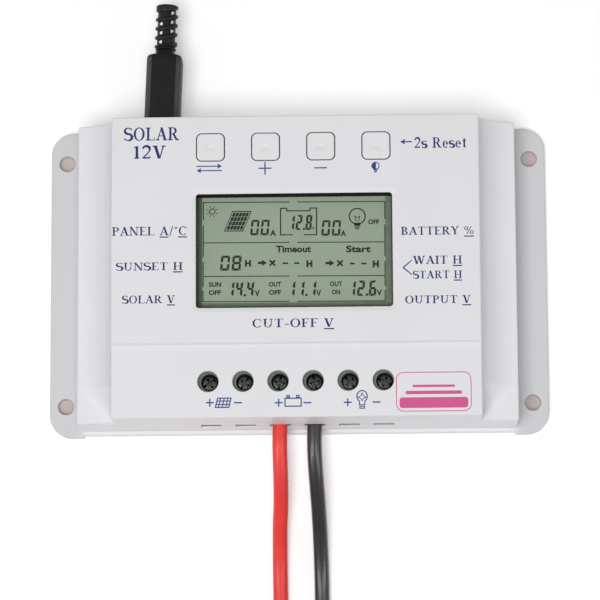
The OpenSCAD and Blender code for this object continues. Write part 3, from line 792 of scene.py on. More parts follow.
def build_key(name, centre):
    cx, cy = centre[0], centre[1]
    top = box_mm("key_" + name)[1][2]
    n = 15

    def sq(w, r, z):
        return at_z(rrect(w, w, r, cx, cy, n=n), z)

    loops = [sq(9.6, 1.6, 28.6), sq(9.9, 1.7, 28.75), sq(9.9, 1.7, 29.65), sq(9.6, 1.6, 29.8), sq(8.1, 1.5, 29.8), sq(7.96, 1.5, 29.95), sq(7.96, 1.5, top - 0.42)]
    for k in range(1, 8):
        a = math.pi / 2 * k / 7
        d = 0.42 * (1 - math.cos(a))
        loops.append(sq(7.96 - 2 * d, 1.5 - d, top - 0.42 + 0.42 * math.sin(a)))
    base = rrect(7.0, 7.0, 0.95, cx, cy, n=n)

    def mixed(u, r):
        ring = radial(base, cx, cy, r)
        return [((1 - u) * a + u * c, (1 - u) * b + u * d) for (a, b), (c, d) in zip(base, ring)]

    # the front is very slightly dished
    loops.append(at_z(mixed(0.35, 2.6), top - 0.015))
    loops.append(at_z(mixed(0.75, 1.9), top - 0.035))
    loops.append(at_z(radial(base, cx, cy, 1.6), top - 0.05))
    # moulding mark: a small three-lobed dimple left by the gate
    for r, depth, floor in ((1.42, 0.10, 0.0), (1.25, 0.17, 0.0), (1.0, 0.19, 0.01), (0.75, 0.19, 0.04), (0.5, 0.12, 0.09), (0.25, 0.03, 0.18)):
        ring = radial(base, cx, cy, r)
        loops.append([(x, y, top - 0.05 - floor - depth * (0.5 + 0.5 * math.cos(3 * math.atan2(y - cy, x - cx) + math.pi / 2)) ** 2) for x, y in ring])
    ob = mesh_obj("keycap_" + name, *loft(loops))
    tidy(ob, 40)
    dress(ob, "key", "key_%s_body" % name)
    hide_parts("key_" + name)


for k, c in KEYS.items():
    build_key(k, c)


# ---------------------------------------------------------------- terminal screws
def build_screw(i, pole):
    cx, cy, _ = SCREWS[pole]
    lo, hi = box_mm(pole + "_screw")
    top = hi[2]
    profile = [(0.001, lo[2]), (0.95, lo[2] + 0.02), (1.2, lo[2] + 0.35)]
    z = lo[2] + 0.45
    while z < top - 2.75:
        profile += [(1.2, z), (1.44, z + 0.16), (1.44, z + 0.24), (1.2, z + 0.4)]
        z += 0.5
    profile += [(1.3, top - 2.3), (1.45, top - 2.2), (2.25, top - 2.2), (2.4, top - 2.05), (2.4, top - 0.62), (2.34, top - 0.36), (2.18, top - 0.16),
                (1.95, top - 0.06), (1.2, top - 0.02), (0.001, top)]
    ob = mesh_obj("clamp_screw_" + pole, *moved(turned(profile, 48), Matrix.Translation((cx, cy, 0))))
    # combined cross and slot recess
    ang = math.radians(30 + 25 * i)

    def cross(scale, z):
        pts = []
        for a in range(4):
            t = ang + a * math.pi / 2
            u, v = (math.cos(t), math.sin(t)), (-math.sin(t), math.cos(t))
            long, half = (1.95 if a % 2 == 0 else 1.5) * scale, 0.33 * (0.6 + 0.4 * scale)
            for p, q in ((half, -half), (long, -half), (long, half)):
                pts.append((cx + u[0] * p + v[0] * q, cy + u[1] * p + v[1] * q))
        return at_z(pts, z)

    boolean(ob, [loft([cross(0.62, top - 1.25), cross(1.0, top - 0.55), cross(1.02, top + 0.3)])])
    tidy(ob, 36, bevel=0.045, segments=1)
    dress(ob, "dark_steel", pole + "_screw_body")
    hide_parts(pole + "_screw")


for i, pole in enumerate(POLES):
    build_screw(i, pole)


# ---------------------------------------------------------------- probe plug
def build_plug():
    to_plug = JACK @ Matrix.Rotation(math.radians(-90), 4, "X")   # local z runs along the plug, away from the case; local y points down

    def oct8(d, z, w=5.25, h=4.8, c=1.5):
        """Chamfered outline with its corners softened."""
        w, h, c = w - d, h - d, max(0.2, c - d * 0.586)
        corners = [(w, h - c), (w - c, h), (-w + c, h), (-w, h - c), (-w, -h + c), (-w + c, -h), (w - c, -h), (w, -h + c)]
        pts = []
        for j in range(8):
            x, y = corners[j]
            px, py = corners[j - 1]
            qx, qy = corners[(j + 1) % 8]
            for ox, oy in ((px, py), (qx, qy)):
                s = 0.28 / math.dist((x, y), (ox, oy))
                pts.append((x + (ox - x) * s, y + (oy - y) * s))
                if (ox, oy) == (px, py):
                    pts.append((x * 0.965 + (px + qx) / 2 * 0.035, y * 0.965 + (py + qy) / 2 * 0.035))
        return at_z(pts, z)

    loops = [oct8(0.35, 0.3), oct8(0.1, 0.42), oct8(0.0, 0.65)]
    # shallow seam round the shell near the case
    loops += [oct8(0.0, 2.3), oct8(0.12, 2.4), oct8(0.12, 2.6), oct8(0.0, 2.7)]
    for z in (8, 14, 19, 20.9):
        loops.append(oct8(0.0, z))
    for k in range(1, 8):
        a = math.pi / 2 * k / 7
        loops.append(oct8(1.5 * (1 - math.cos(a)), 20.9 + 1.6 * math.sin(a)))
    ring = loops[-1]
    for r, z in ((3.65, 22.55), (3.45, 22.7), (3.35, 23.6), (3.1, 24.1), (2.9, 24.38)):
        loops.append([(r * math.cos(math.atan2(y, x)), r * math.sin(math.atan2(y, x)), z) for x, y, _ in ring])
    shell = mesh_obj("probe_shell", *moved(loft(loops), to_plug))
    tidy(shell, 30)
    dress(shell, "plug", "probe_plug")
    # painted reflection: the long chamfers take a lighter black, standing in for the light they reflect
    shell.data.materials.append(M["bevel"])
    for p in shell.data.polygons:
        if abs(p.normal.x) > 0.45 and abs(p.normal.z) > 0.45 and abs(p.normal.y) < 0.2:
            p.material_index = 1
    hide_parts("plug_shell")

    # slotted tail: five slanted rings on a slimmer tube, with slots right through on alternate sides
    def lean(part):
        verts, faces = part
        out = []
        for x, y, z in verts:
            w = smooth((z - 24.6) / 1.6) * (1 - smooth((z - 36.2) / 1.5))
            out.append((x, y, z + (0.17 * x + 0.26 * y) * w))
        return out, faces

    profile = [(1.32, 24.42), (3.05, 24.42), (3.05, 24.75)]
    for j in range(5):
        a = 25.15 + 2.80 * j
        r1 = 3.42 - 0.03 * j
        profile += [(2.72, a - 0.12), (2.72, a + 0.02), (r1 - 0.5, a + 0.06), (r1 - 0.14, a + 0.2), (r1, a + 0.5), (r1, a + 0.92), (r1 - 0.14, a + 1.22),
                    (r1 - 0.5, a + 1.36), (2.72, a + 1.4)]
    profile = profile[:-3] + [(3.3, 37.78), (3.1, 37.9), (1.32, 37.9)]
    dense = []
    for (r0, z0), (r1, z1) in zip(profile, profile[1:]):
        dense.append((r0, z0))
        if abs(z1 - z0) > 0.5:
            dense.append(((r0 + r1) / 2, (z0 + z1) / 2))
    dense.append(profile[-1])
    bore = [(1.32, z) for z in (37.4, 36.8, 36.2, 34, 31, 28, 26.2, 25.4, 24.9)]
    loops = [at_z(disc(r, n=56), z) for r, z in dense + bore]
    tail = mesh_obj("probe_boot", *moved(lean(loft(loops, ring=True)), to_plug))
    cuts = []
    for j in range(4):
        z = 25.15 + 2.80 * j + 2.10
        for side in (-1, 1):
            if j in (0, 3) and side == (1 if j == 0 else -1):
                continue
            x = side * (1.22 if (j % 2 == 0) == (side < 0) else 1.42)
            half = 1.02 if (j % 2 == 0) == (side < 0) else 0.72
            lens = [(x + half * math.cos(2 * math.pi * k / 14), z + 0.52 * math.sin(2 * math.pi * k / 14)) for k in range(14)]
            cuts.append(moved(lean(loft([[(u, yy, v) for u, v in lens] for yy in (-6, 6)])), to_plug))
    boolean(tail, cuts)
    tidy(tail, 40)
    dress(tail, "boot", "probe_plug")
    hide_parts("plug_strain_relief")


build_plug()


# ---------------------------------------------------------------- printed legends
def poly_prism(points):
    return loft([[(x, y, 0.0) for x, y in points], [(x, y, 1.0) for x, y in points]])


def bar(x0, x1, y0, y1):
    return poly_prism([(x0, y0), (x1, y0), (x1, y1), (x0, y1)])


def slant(x0, y0, x1, y1, t):
    return poly_prism([(x0 - t / 2, y0), (x0 + t / 2, y0), (x1 + t / 2, y1), (x1 - t / 2, y1)])


def bow(cx, cy, rx, ry, a0, a1, tx, ty, n=20):
    outer, inner = [], []
    for k in range(n + 1):
        a = math.radians(a0 + (a1 - a0) * k / n)
        outer.append((cx + rx * math.cos(a), cy + ry * math.sin(a)))
        inner.append((cx + (rx - tx) * math.cos(a), cy + (ry - ty) * math.sin(a)))
    return poly_prism(outer + inner[::-1])


def pen(path):
    left, right = [], []
    for i, (x, y, w) in enumerate(path):
        x0, y0, _ = path[max(0, i - 1)]
        x1, y1, _ = path[min(len(path) - 1, i + 1)]
        s = math.hypot(x1 - x0, y1 - y0)
        nx, ny = -(y1 - y0) / s, (x1 - x0) / s
        left.append((x + nx * w / 2, y + ny * w / 2))
        right.append((x - nx * w / 2, y - ny * w / 2))
    return poly_prism(left + right[::-1])


TH, TN, SF = 0.155, 0.066, 0.33


def foot(x, y, up, w=SF):
    """Serif with a small bracket."""
    s = 1 if up else -1
    return poly_prism([(x - w / 2, y), (x + w / 2, y), (x + w / 2, y + s * TN * 0.8), (x + TH * 0.6, y + s * TN * 1.5), (x - TH * 0.6, y + s * TN * 1.5), (x - w / 2, y + s * TN * 0.8)])


def stem(x, y0=0.0, y1=1.0, t=TH, serif=(True, True), w=SF):
    out = [bar(x - t / 2, x + t / 2, y0, y1)]
    if serif[0]:
        out.append(foot(x, y0, True, w))
    if serif[1]:
        out.append(foot(x, y1, False, w))
    return out


def tick(x, y, h):
    """Beak at the end of an arm, h long and pointing up or down."""
    return poly_prism([(x - 0.02, y), (x + 0.035, y), (x + 0.035, y + h), (x + 0.01, y + h)])


def s_curve(w, h):
    path = []
    for k in range(19):
        a = math.radians(18 + 252 * k / 18)
        path.append((0.5 * w + 0.40 * w * math.cos(a), h * (0.745 + 0.225 * math.sin(a)), 0.08 + 0.10 * max(0.0, math.sin(math.radians(10 * k - 60)) if k > 6 else 0)))
    for k in range(1, 19):
        a = math.radians(90 - 252 * k / 18)
        path.append((0.5 * w + 0.44 * w * math.cos(a), h * (0.27 + 0.25 * math.sin(a)), 0.08 + 0.115 * max(0.0, math.sin(math.radians(150 - 10 * k)) if k < 13 else 0)))
    return [pen(path), tick(0.86 * w, 0.80 * h, 0.17 * h), tick(0.08 * w, 0.02 * h, 0.2 * h)]


def two():
    path = []
    for k in range(13):
        a = math.radians(175 - 205 * k / 12)
        path.append((0.28 + 0.20 * math.cos(a), 0.72 + 0.255 * math.sin(a), 0.075 + 0.11 * math.sin(math.radians(15 * k))))
    path += [(0.30, 0.33, 0.09), (0.08, 0.06, 0.07)]
    return [pen(path), bar(0.05, 0.50, 0.0, 0.115), tick(0.475, 0.08, 0.16)]


def glyph_parts(c):
    b = bow
    if c == "A":
        return 0.78, [slant(0.10, 0, 0.40, 1, TN * 1.1), slant(0.65, 0, 0.38, 1, TH * 1.15), bar(0.2, 0.58, 0.31, 0.31 + TN), foot(0.12, 0, True, 0.24), foot(0.65, 0, True, 0.3)]
    if c == "B":
        return 0.68, stem(0.17) + [bar(0.15, 0.34, 1 - TN, 1), bar(0.15, 0.36, 0.5 - TN / 2, 0.5 + TN / 2), bar(0.15, 0.36, 0, TN),
                                   b(0.32, 0.75, 0.26, 0.25, -90, 90, TH, TN), b(0.34, 0.255, 0.29, 0.255, -90, 90, TH, TN)]
    if c == "C":
        return 0.78, [b(0.42, 0.5, 0.38, 0.515, 48, 180, TH, TN), b(0.42, 0.5, 0.38, 0.515, 180, 318, TH, TN), tick(0.68, 0.68, 0.3)]
    if c == "D":
        return 0.80, stem(0.17) + [bar(0.15, 0.36, 1 - TN, 1), bar(0.15, 0.36, 0, TN), b(0.34, 0.5, 0.41, 0.5, -90, 90, TH, TN)]
    if c in "EFL":
        out = stem(0.17)
        if c != "L":
            out += [bar(0.15, 0.56, 1 - TN, 1), tick(0.56, 0.8, 0.2), bar(0.15, 0.42, 0.5 - TN / 2, 0.5 + TN / 2), tick(0.42, 0.4, 0.2)]
        if c != "F":
            out += [bar(0.15, 0.60, 0, TN), tick(0.60, 0.0, 0.24)]
        return (0.66 if c != "F" else 0.62), out
    if c == "H":
        return 0.84, stem(0.17) + stem(0.67) + [bar(0.15, 0.69, 0.5 - TN / 2, 0.5 + TN / 2)]
    if c == "I":
        return 0.36, stem(0.18)
    if c == "K":
        return 0.80, stem(0.17) + [slant(0.24, 0.42, 0.62, 1, TN * 1.3), slant(0.66, 0, 0.36, 0.58, TH * 1.15), foot(0.62, 1, False, 0.26), foot(0.67, 0, True, 0.28)]
    if c == "N":
        return 0.84, stem(0.14, t=TN, w=0.26) + stem(0.70, t=TN, serif=(False, True), w=0.26) + [slant(0.68, 0, 0.14, 1, TH * 1.15)]
    if c == "O":
        return 0.82, [b(0.41, 0.5, 0.39, 0.515, 0, 180, TH, TN), b(0.41, 0.5, 0.39, 0.515, 180, 360, TH, TN)]
    if c in "PR":
        out = stem(0.17) + [bar(0.15, 0.36, 1 - TN, 1), bar(0.15, 0.36, 0.47, 0.47 + TN), b(0.33, 0.735, 0.29, 0.265, -90, 90, TH, TN)]
        if c == "R":
            out += [slant(0.64, 0, 0.38, 0.5, TH * 1.1), foot(0.66, 0, True, 0.24)]
        return (0.66 if c == "P" else 0.78), out
    if c == "S":
        return 0.60, s_curve(0.60, 1.0)
    if c == "T":
        return 0.72, stem(0.36, serif=(True, False)) + [bar(0.05, 0.67, 1 - TN, 1), tick(0.66, 0.78, 0.22), tick(0.045, 0.78, 0.22)]
    if c == "U":
        return 0.82, [bar(0.10, 0.10 + TH, 0.34, 1), foot(0.177, 1, False), bar(0.62, 0.62 + TN, 0.34, 1), foot(0.65, 1, False, 0.26),
                      b(0.391, 0.345, 0.291, 0.36, 180, 360, TH * 0.8, TN * 1.2)]
    if c == "V":
        return 0.78, [slant(0.39, 0, 0.15, 1, TH * 1.15), slant(0.41, 0, 0.64, 1, TN * 1.1), foot(0.14, 1, False, 0.3), foot(0.64, 1, False, 0.24)]
    if c == "W":
        return 1.12, [slant(0.35, 0, 0.13, 1, TH * 1.1), slant(0.37, 0, 0.56, 1, TN * 1.1), slant(0.76, 0, 0.54, 1, TH * 1.1), slant(0.78, 0, 0.98, 1, TN * 1.1),
                      foot(0.13, 1, False, 0.28), foot(0.54, 1, False, 0.26), foot(0.98, 1, False, 0.24)]
    if c == "Y":
        return 0.78, [slant(0.39, 0.44, 0.14, 1, TH * 1.1), slant(0.40, 0.44, 0.64, 1, TN * 1.1), foot(0.14, 1, False, 0.3), foot(0.64, 1, False, 0.24)] + stem(0.39, 0, 0.5, serif=(True, False))
    if c == "1":
        return 0.46, stem(0.25, 0, 0.97, serif=(True, False)) + [slant(0.07, 0.80, 0.20, 0.97, TN)]
    if c == "2":
        return 0.58, two()
    if c == "%":
        return 0.94, [slant(0.25, 0, 0.69, 1, TN * 1.2)] + [b(x, y, 0.19, 0.235, a, a + 180, TH * 0.6, TN) for x, y in ((0.21, 0.74), (0.73, 0.26)) for a in (0, 180)]
    if c == "/":
        return 0.40, [slant(0.07, -0.08, 0.33, 1.05, TN * 1.2)]
    if c == "*":
        return 0.32, [b(0.15, 0.85, 0.12, 0.14, a, a + 180, TN, TN) for a in (0, 180)]
    if c == "-":
        return 0.40, [bar(0.05, 0.35, 0.3, 0.39)]
    if c == "e":
        return 0.52, [b(0.26, 0.33, 0.23, 0.345, -5, 180, TH * 0.85, TN), b(0.26, 0.33, 0.23, 0.345, 180, 318, TH * 0.85, TN), bar(0.08, 0.48, 0.33, 0.33 + TN)]
    if c == "s":
        return 0.44, s_curve(0.44, 0.68)
    if c == "t":
        return 0.38, [bar(0.12, 0.12 + TH * 0.9, 0.08, 0.88), bar(0.02, 0.35, 0.62, 0.62 + TN), b(0.25, 0.13, 0.13, 0.14, 180, 330, TH * 0.7, TN)]
    return 0.34, []


def fused(parts):
    """Union of overlapping closed parts, as plain verts and faces."""
    if len(parts) < 2:
        return merge(parts)
    me = bpy.data.meshes.new("glyph")
    verts, faces = parts[0]
    me.from_pydata(verts, [], faces)
    ob = bpy.data.objects.new("glyph", me)
    scene.collection.objects.link(ob)
    for part in parts[1:]:
        cm = bpy.data.meshes.new("stroke")
        cm.from_pydata(part[0], [], part[1])
        co = bpy.data.objects.new("stroke", cm)
        scene.collection.objects.link(co)
        m = ob.modifiers.new("join", "BOOLEAN")
        m.object, m.operation, m.solver = co, "UNION", "EXACT"
        bake(ob)
        bpy.data.objects.remove(co)
        bpy.data.meshes.remove(cm)
    out = ([tuple(v.co) for v in ob.data.vertices], [tuple(p.vertices) for p in ob.data.polygons])
    data = ob.data
    bpy.data.objects.remove(ob)
    bpy.data.meshes.remove(data)
    return out


GLYPHS = {}


def glyph(c):
    if c not in GLYPHS:
        w, parts = glyph_parts(c)
        # strokes end at slightly different heights, so no two faces lie in one plane before they are joined
        fresh = [([(x, y, z * (1 + 0.004 * i) - 0.003 * i) for x, y, z in v], f) for i, (v, f) in enumerate(parts)]
        GLYPHS[c] = (w, fused(fresh) if parts else ([], []))
    return GLYPHS[c]


def legend(text, x0, x1, base, cap, z, thick=0.022, underlined=()):
    """A line of print whose baseline and cap line are at base and cap."""
    gap = 0.06
    total = sum(glyph(c)[0] + gap for c in text) - gap
    sx, sy = (x1 - x0) / total, cap - base
    out, x = [], 0.0
    for i, c in enumerate(text):
        w, (verts, faces) = glyph(c)
        if verts:
            out.append(([(x0 + (x + vx) * sx, base + vy * sy, z - 0.02 + (thick + 0.02) * vz) for vx, vy, vz in verts], faces))
        if i - len(text) in underlined:
            out.append(flat([(x0 + (x - 0.01) * sx, base - 0.72), (x0 + (x + w + 0.01) * sx, base - 0.72), (x0 + (x + w + 0.01) * sx, base - 0.38), (x0 + (x - 0.01) * sx, base - 0.38)], z, thick))
        x += w + gap
    return out


def flat(points, z, thick=0.022, sink=0.02):
    return loft([at_z(points, z - sink), at_z(points, z + thick)])


def line(x0, y0, x1, y1, w, z, thick=0.022):
    s = math.hypot(x1 - x0, y1 - y0)
    nx, ny = -(y1 - y0) / s * w / 2, (x1 - x0) / s * w / 2
    return flat([(x0 + nx, y0 + ny), (x0 - nx, y0 - ny), (x1 - nx, y1 - ny), (x1 + nx, y1 + ny)], z, thick)


def arrow(x_tail, x_tip, y, w, head, z):
    s = 1 if x_tip > x_tail else -1
    return [flat([(x_tail, y - w / 2), (x_tip - s * head * 0.9, y - w / 2), (x_tip - s * head, y - head * 0.55), (x_tip, y), (x_tip - s * head, y + head * 0.55),
                  (x_tip - s * head * 0.9, y + w / 2), (x_tail, y + w / 2)], z)]


def hollow_box(x0, x1, y0, y1, w, z, thick=0.022):
    outer = [(x0, y0), (x1, y0), (x1, y1), (x0, y1)]
    inner = [(x0 + w, y0 + w), (x1 - w, y0 + w), (x1 - w, y1 - w), (x0 + w, y1 - w)]
    return loft([at_z(outer, z - 0.02), at_z(outer, z + thick), at_z(inner, z + thick), at_z(inner, z - 0.02)], ring=True)


def hoop(cx, cy, r, w, z, n=40, thick=0.022, squash=1.0):
    def c(rr):
        return [(cx + rr * math.cos(2 * math.pi * k / n), cy + rr * squash * math.sin(2 * math.pi * k / n)) for k in range(n)]
    return loft([at_z(c(r), z - 0.02), at_z(c(r), z + thick), at_z(c(r - w), z + thick), at_z(c(r - w), z - 0.02)], ring=True)


def bulb(cx, y0, y1, z, filled):
    """Lamp symbol: round glass over a ribbed cap."""
    h = y1 - y0
    r = h * 0.33
    cy = y1 - r
    out = [hoop(cx, cy, r, 0.26, z)]
    if filled:
        half = [(cx + 0.12 - (r - 0.1) * math.sin(math.pi * k / 20), cy + (r - 0.1) * math.cos(math.pi * k / 20)) for k in range(21)]
        out.append(flat(half, z, 0.026))
    k = h * 0.13
    y = cy - r * 0.86
    out.append(flat([(cx - r * 0.52, y), (cx + r * 0.52, y), (cx + r * 0.42, y - k * 0.9), (cx - r * 0.42, y - k * 0.9)], z, 0.024))
    out.append(flat([(cx - r * 0.42, y - k * 1.2), (cx + r * 0.42, y - k * 1.2), (cx + r * 0.22, y - k * 2.1), (cx - r * 0.22, y - k * 2.1)], z))
    return out


def lamp_outline(cx, y0, y1, z):
    """Open lamp symbol: tall round outline, star filament, short neck and a banded cap."""
    rx, ry = 1.65, 1.82
    cy = y1 - ry
    outer, inner = [], []
    for k in range(41):
        a = math.radians(-62 + 304 * k / 40)
        outer.append((cx + rx * math.cos(a), cy + ry * math.sin(a)))
        inner.append((cx + (rx - 0.32) * math.cos(a), cy + (ry - 0.32) * math.sin(a)))
    out = [flat(outer + inner[::-1], z)]
    low = cy - ry * 0.88
    for s in (-1, 1):
        out.append(line(cx + s * rx * 0.46, low + 0.10, cx + s * 0.80, y0 + 1.22, 0.28, z, 0.024))
    star = [(0.0, 1.05), (0.36, 0.12), (1.22, -0.28), (0.36, -0.62), (0.0, -1.35), (-0.36, -0.62), (-1.22, -0.28), (-0.36, 0.12)]
    for (xa, ya), (xb, yb) in zip(star, star[1:] + star[:1]):
        out.append(line(cx + xa, cy + ya, cx + xb, cy + yb, 0.22, z, 0.026))
    out.append(flat([(cx - 0.98, y0 + 1.02), (cx + 0.98, y0 + 1.02), (cx + 0.98, y0 + 1.3), (cx - 0.98, y0 + 1.3)], z, 0.030))
    out.append(hollow_box(cx - 0.80, cx + 0.80, y0, y0 + 0.86, 0.28, z, 0.022))
    return out


def build_legends():
    z = TOP
    lines = []
    for text, x0, x1, y0, y1, under in (
            ("SOLAR", -50.10, -33.95, 37.47, 41.37, ()), ("12V", -47.56, -37.76, 32.05, 35.91, ()),
            ("2s Reset", 34.86, 50.19, 34.3, 37.4, ()),
            ("PANEL A/*C", -53.51, -31.60, 9.15, 11.70, (-1, -4)), ("SUNSET H", -52.30, -32.88, -1.20, 1.10, (-1,)), ("SOLAR V", -50.52, -35.09, -10.95, -8.65, (-1,)),
            ("BATTERY %", 30.77, 51.99, 8.45, 10.85, (-1,)), ("WAIT H", 34.16, 48.38, -0.20, 2.20, (-1,)), ("START H", 34.11, 48.32, -4.50, -2.20, (-1,)),
            ("OUTPUT V", 31.70, 50.82, -11.80, -9.50, (-1,)), ("CUT-OFF V", -12.72, 11.06, -18.40, -15.90, (-1,))):
        lines += legend(text, x0, x1, y0, y1, z, underlined=under)
    ob = mesh_obj("front_legends", *merge(lines))
    tidy(ob, 30, weighted=False)
    dress(ob, "print")
    icons = []
    icons += arrow(-28.82, -21.35, 29.55, 0.32, 1.35, z)
    icons += arrow(-21.35, -28.82, 28.25, 0.32, 1.35, z)
    icons.append(flat([(-8.77 + x, 28.76 + y) for x, y in ((-1.9, -0.19), (-0.19, -0.19), (-0.19, -1.9), (0.19, -1.9), (0.19, -0.19), (1.9, -0.19), (1.9, 0.19),
                                                          (0.19, 0.19), (0.19, 1.9), (-0.19, 1.9), (-0.19, 0.19), (-1.9, 0.19))], z))
    icons.append(flat([(5.56, 28.52), (9.36, 28.52), (9.36, 28.88), (5.56, 28.88)], z))
    icons += bulb(23.53, 26.72, 30.31, z, True)
    icons += arrow(34.28, 30.77, 36.2, 0.36, 1.5, z)
    for x, y in ((31.15, -1.2),):
        icons.append(flat([(33.85, 0.85), (33.85, 1.2), (x, -1.05), (x, -1.35), (33.85, -3.5), (33.85, -3.15), (x + 0.45, -1.2)], z))
    # lower face
    z = LOW_TOP
    for x, y, plus in ((-25.06, -40.14, 1), (-16.89, -40.22, 0), (-5.12, -40.34, 1), (3.18, -40.42, 0), (14.86, -40.42, 1), (23.15, -40.41, 0)):
        a, w = 1.15, 0.19
        if plus:
            icons.append(flat([(x + p, y + q) for p, q in ((-a, -w), (-w, -w), (-w, -a), (w, -a), (w, -w), (a, -w), (a, w), (w, w), (w, a), (-w, a), (-w, w), (-a, w))], z))
        else:
            icons.append(flat([(x - a, y - w), (x + a, y - w), (x + a, y + w), (x - a, y + w)], z))
    x0, x1, y0, y1 = -23.67, -18.69, -41.73, -38.69
    lean = 0.75
    wide = x1 - x0 - lean
    out = [(x0, y0), (x0 + wide, y0), (x1, y1), (x0 + lean, y1)]
    inn = [(x0 + 0.43, y0 + 0.32), (x0 + wide - 0.26, y0 + 0.32), (x1 - 0.43, y1 - 0.32), (x0 + lean + 0.26, y1 - 0.32)]
    icons.append(loft([at_z(out, z - 0.02), at_z(out, z + 0.022), at_z(inn, z + 0.022), at_z(inn, z - 0.02)], ring=True))
    for k in range(1, 4):
        x = x0 + wide * k / 4
        icons.append(line(x + 0.03, y0 + 0.1, x + lean - 0.03, y1 - 0.1, 0.29, z, 0.025))
    for k in range(1, 3):
        y, dx = y0 + (y1 - y0) * k / 3, lean * k / 3
        icons.append(line(x0 + dx + 0.1, y, x0 + dx + wide - 0.1, y, 0.29, z, 0.028))
    x0, x1, y0, y1 = -3.46, 1.54, -41.55, -38.9
    icons.append(hollow_box(x0, x1, y0, y1, 0.34, z))
    for x in (x0 + 1.1, x1 - 1.1):
        icons.append(hollow_box(x - 0.52, x + 0.52, y1 - 0.05, y1 + 0.78, 0.30, z, 0.026))
    icons += lamp_outline(19.0, -42.32, -36.87, z)
    ob = mesh_obj("front_icons", *merge(icons))
    tidy(ob, 30, weighted=False)
    dress(ob, "icon")
    # plain coloured decal: a ruled outline over a solid band
    x0, x1, y0, y1 = 28.81, 50.63, -43.3, -31.73
    cx, cy = (x0 + x1) / 2, (y0 + y1) / 2
    w, h = x1 - x0, y1 - y0
    out = rrect(w, h, 2.2, cx, cy)
    inn = rrect(w - 0.5, h - 0.5, 1.95, cx, cy)
    parts = [loft([at_z(out, z - 0.02), at_z(out, z + 0.03), at_z(inn, z + 0.03), at_z(inn, z - 0.02)], ring=True)]
    parts.append(flat(rrect(w - 2.0, 3.1, 0.8, cx, y0 + 2.6), z, 0.03))
    parts.append(flat(rrect(w - 5.5, 1.0, 0.45, cx, y0 + 5.55), z, 0.03))
    parts.append(flat(rrect(w - 9.5, 0.7, 0.33, cx, y0 + 7.45), z, 0.03))
    ob = mesh_obj("decal", *merge(parts))
    tidy(ob, 30, weighted=False)
    dress(ob, "pink")


build_legends()


# ---------------------------------------------------------------- display contents
GLASS = box_mm("lcd_glass")[1][2]
TILT = math.radians(-0.3)


def tilted(part):
    verts, faces = part
    out = []
    for x, y, z in verts:
        dx, dy = x - WIN_X, y - WIN_Y
        out.append((WIN_X + dx * math.cos(TILT) - dy * math.sin(TILT), WIN_Y + dx * math.sin(TILT) + dy * math.cos(TILT), z))
    return out, faces


SEGMENTS = {"0": "abcdef", "1": "bc", "2": "abged", "3": "abgcd", "4": "fgbc", "5": "afgcd", "6": "afgedc", "7": "abc", "8": "abcdefg", "9": "abfgcd"}


def digits(text, x0, x1, y0, y1, z, w=None, lean=0.09):
    """Slanted seven-segment figures with mitred gaps; a point takes little room."""
    h = y1 - y0
    w = w or h * 0.16
    advance = [0.28 if c == "." else 1.0 for c in text]
    unit = (x1 - x0 - lean * h) / (sum(advance) - 0.22)
    out, x = [], x0
    g = w * 0.14
    for c, adv in zip(text, advance):
        dw = unit * 0.78

        def pt(px, py):
            return (x + px + lean * py, y0 + py)

        def hseg(y, n):
            a, b = g + w * 0.15, dw - g - w * 0.15
            if n == 0:
                q = [(a, y), (b, y), (b - w * 0.85, y + w), (a + w * 0.85, y + w)]
            elif n == 1:
                q = [(a + w * 0.45, y - w / 2), (b - w * 0.45, y - w / 2), (b, y), (b - w * 0.45, y + w / 2), (a + w * 0.45, y + w / 2), (a, y)]
            else:
                q = [(a, y), (a + w * 0.85, y - w), (b - w * 0.85, y - w), (b, y)]
            return [pt(*p) for p in q]

        def vseg(px, s, ya, yb):
            # s = 1: left column, opening to the right
            ia, ib = ya + g + (w * 0.85 if ya == 0 else w * 0.5), yb - g - (w * 0.85 if yb == h else w * 0.5)
            q = [(px, ya + g + (0 if ya == 0 else w * 0.08)), (px, yb - g - (0 if yb == h else w * 0.08)), (px + s * w, ib), (px + s * w, ia)]
            return [pt(*p) for p in q]

        if c == ".":
            out.append(flat([pt(*p) for p in rrect(w * 1.0, w * 1.0, w * 0.3, w * 0.35, w * 0.5, n=3)], z))
        elif c in SEGMENTS:
            on = SEGMENTS[c]
            if "a" in on:
                out.append(flat(hseg(h, 2), z))
            if "g" in on:
                out.append(flat(hseg(h / 2, 1), z))
            if "d" in on:
                out.append(flat(hseg(0, 0), z))
            if "f" in on:
                out.append(flat(vseg(0, 1, h / 2, h), z))
            if "e" in on:
                out.append(flat(vseg(0, 1, 0, h / 2), z))
            if "b" in on:
                out.append(flat(vseg(dw, -1, h / 2, h), z))
            if "c" in on:
                out.append(flat(vseg(dw, -1, 0, h / 2), z))
        x += adv * unit
    return out


def word(text, x0, x1, y0, y1, z, bold=0.0, thick=0.02):
    """Plain sans word from the built-in face, as a closed mesh fitted to its box."""
    data = bpy.data.curves.new("word", "FONT")
    data.body, data.extrude, data.offset, data.resolution_u = text, 0.5, bold, 3
    ob = bpy.data.objects.new("word", data)
    scene.collection.objects.link(ob)
    dg = bpy.context.evaluated_depsgraph_get()
    me = bpy.data.meshes.new_from_object(ob.evaluated_get(dg), depsgraph=dg)
    vs = [tuple(v.co) for v in me.vertices]
    faces = [tuple(p.vertices) for p in me.polygons]
    bpy.data.objects.remove(ob)
    bpy.data.curves.remove(data)
    bpy.data.meshes.remove(me)
    ax, bx = min(v[0] for v in vs), max(v[0] for v in vs)
    ay, by = min(v[1] for v in vs), max(v[1] for v in vs)
    return [([(x0 + (x - ax) / (bx - ax) * (x1 - x0), y0 + (y - ay) / (by - ay) * (y1 - y0), z + (thick if zz > 0 else 0.0)) for x, y, zz in vs], faces)]


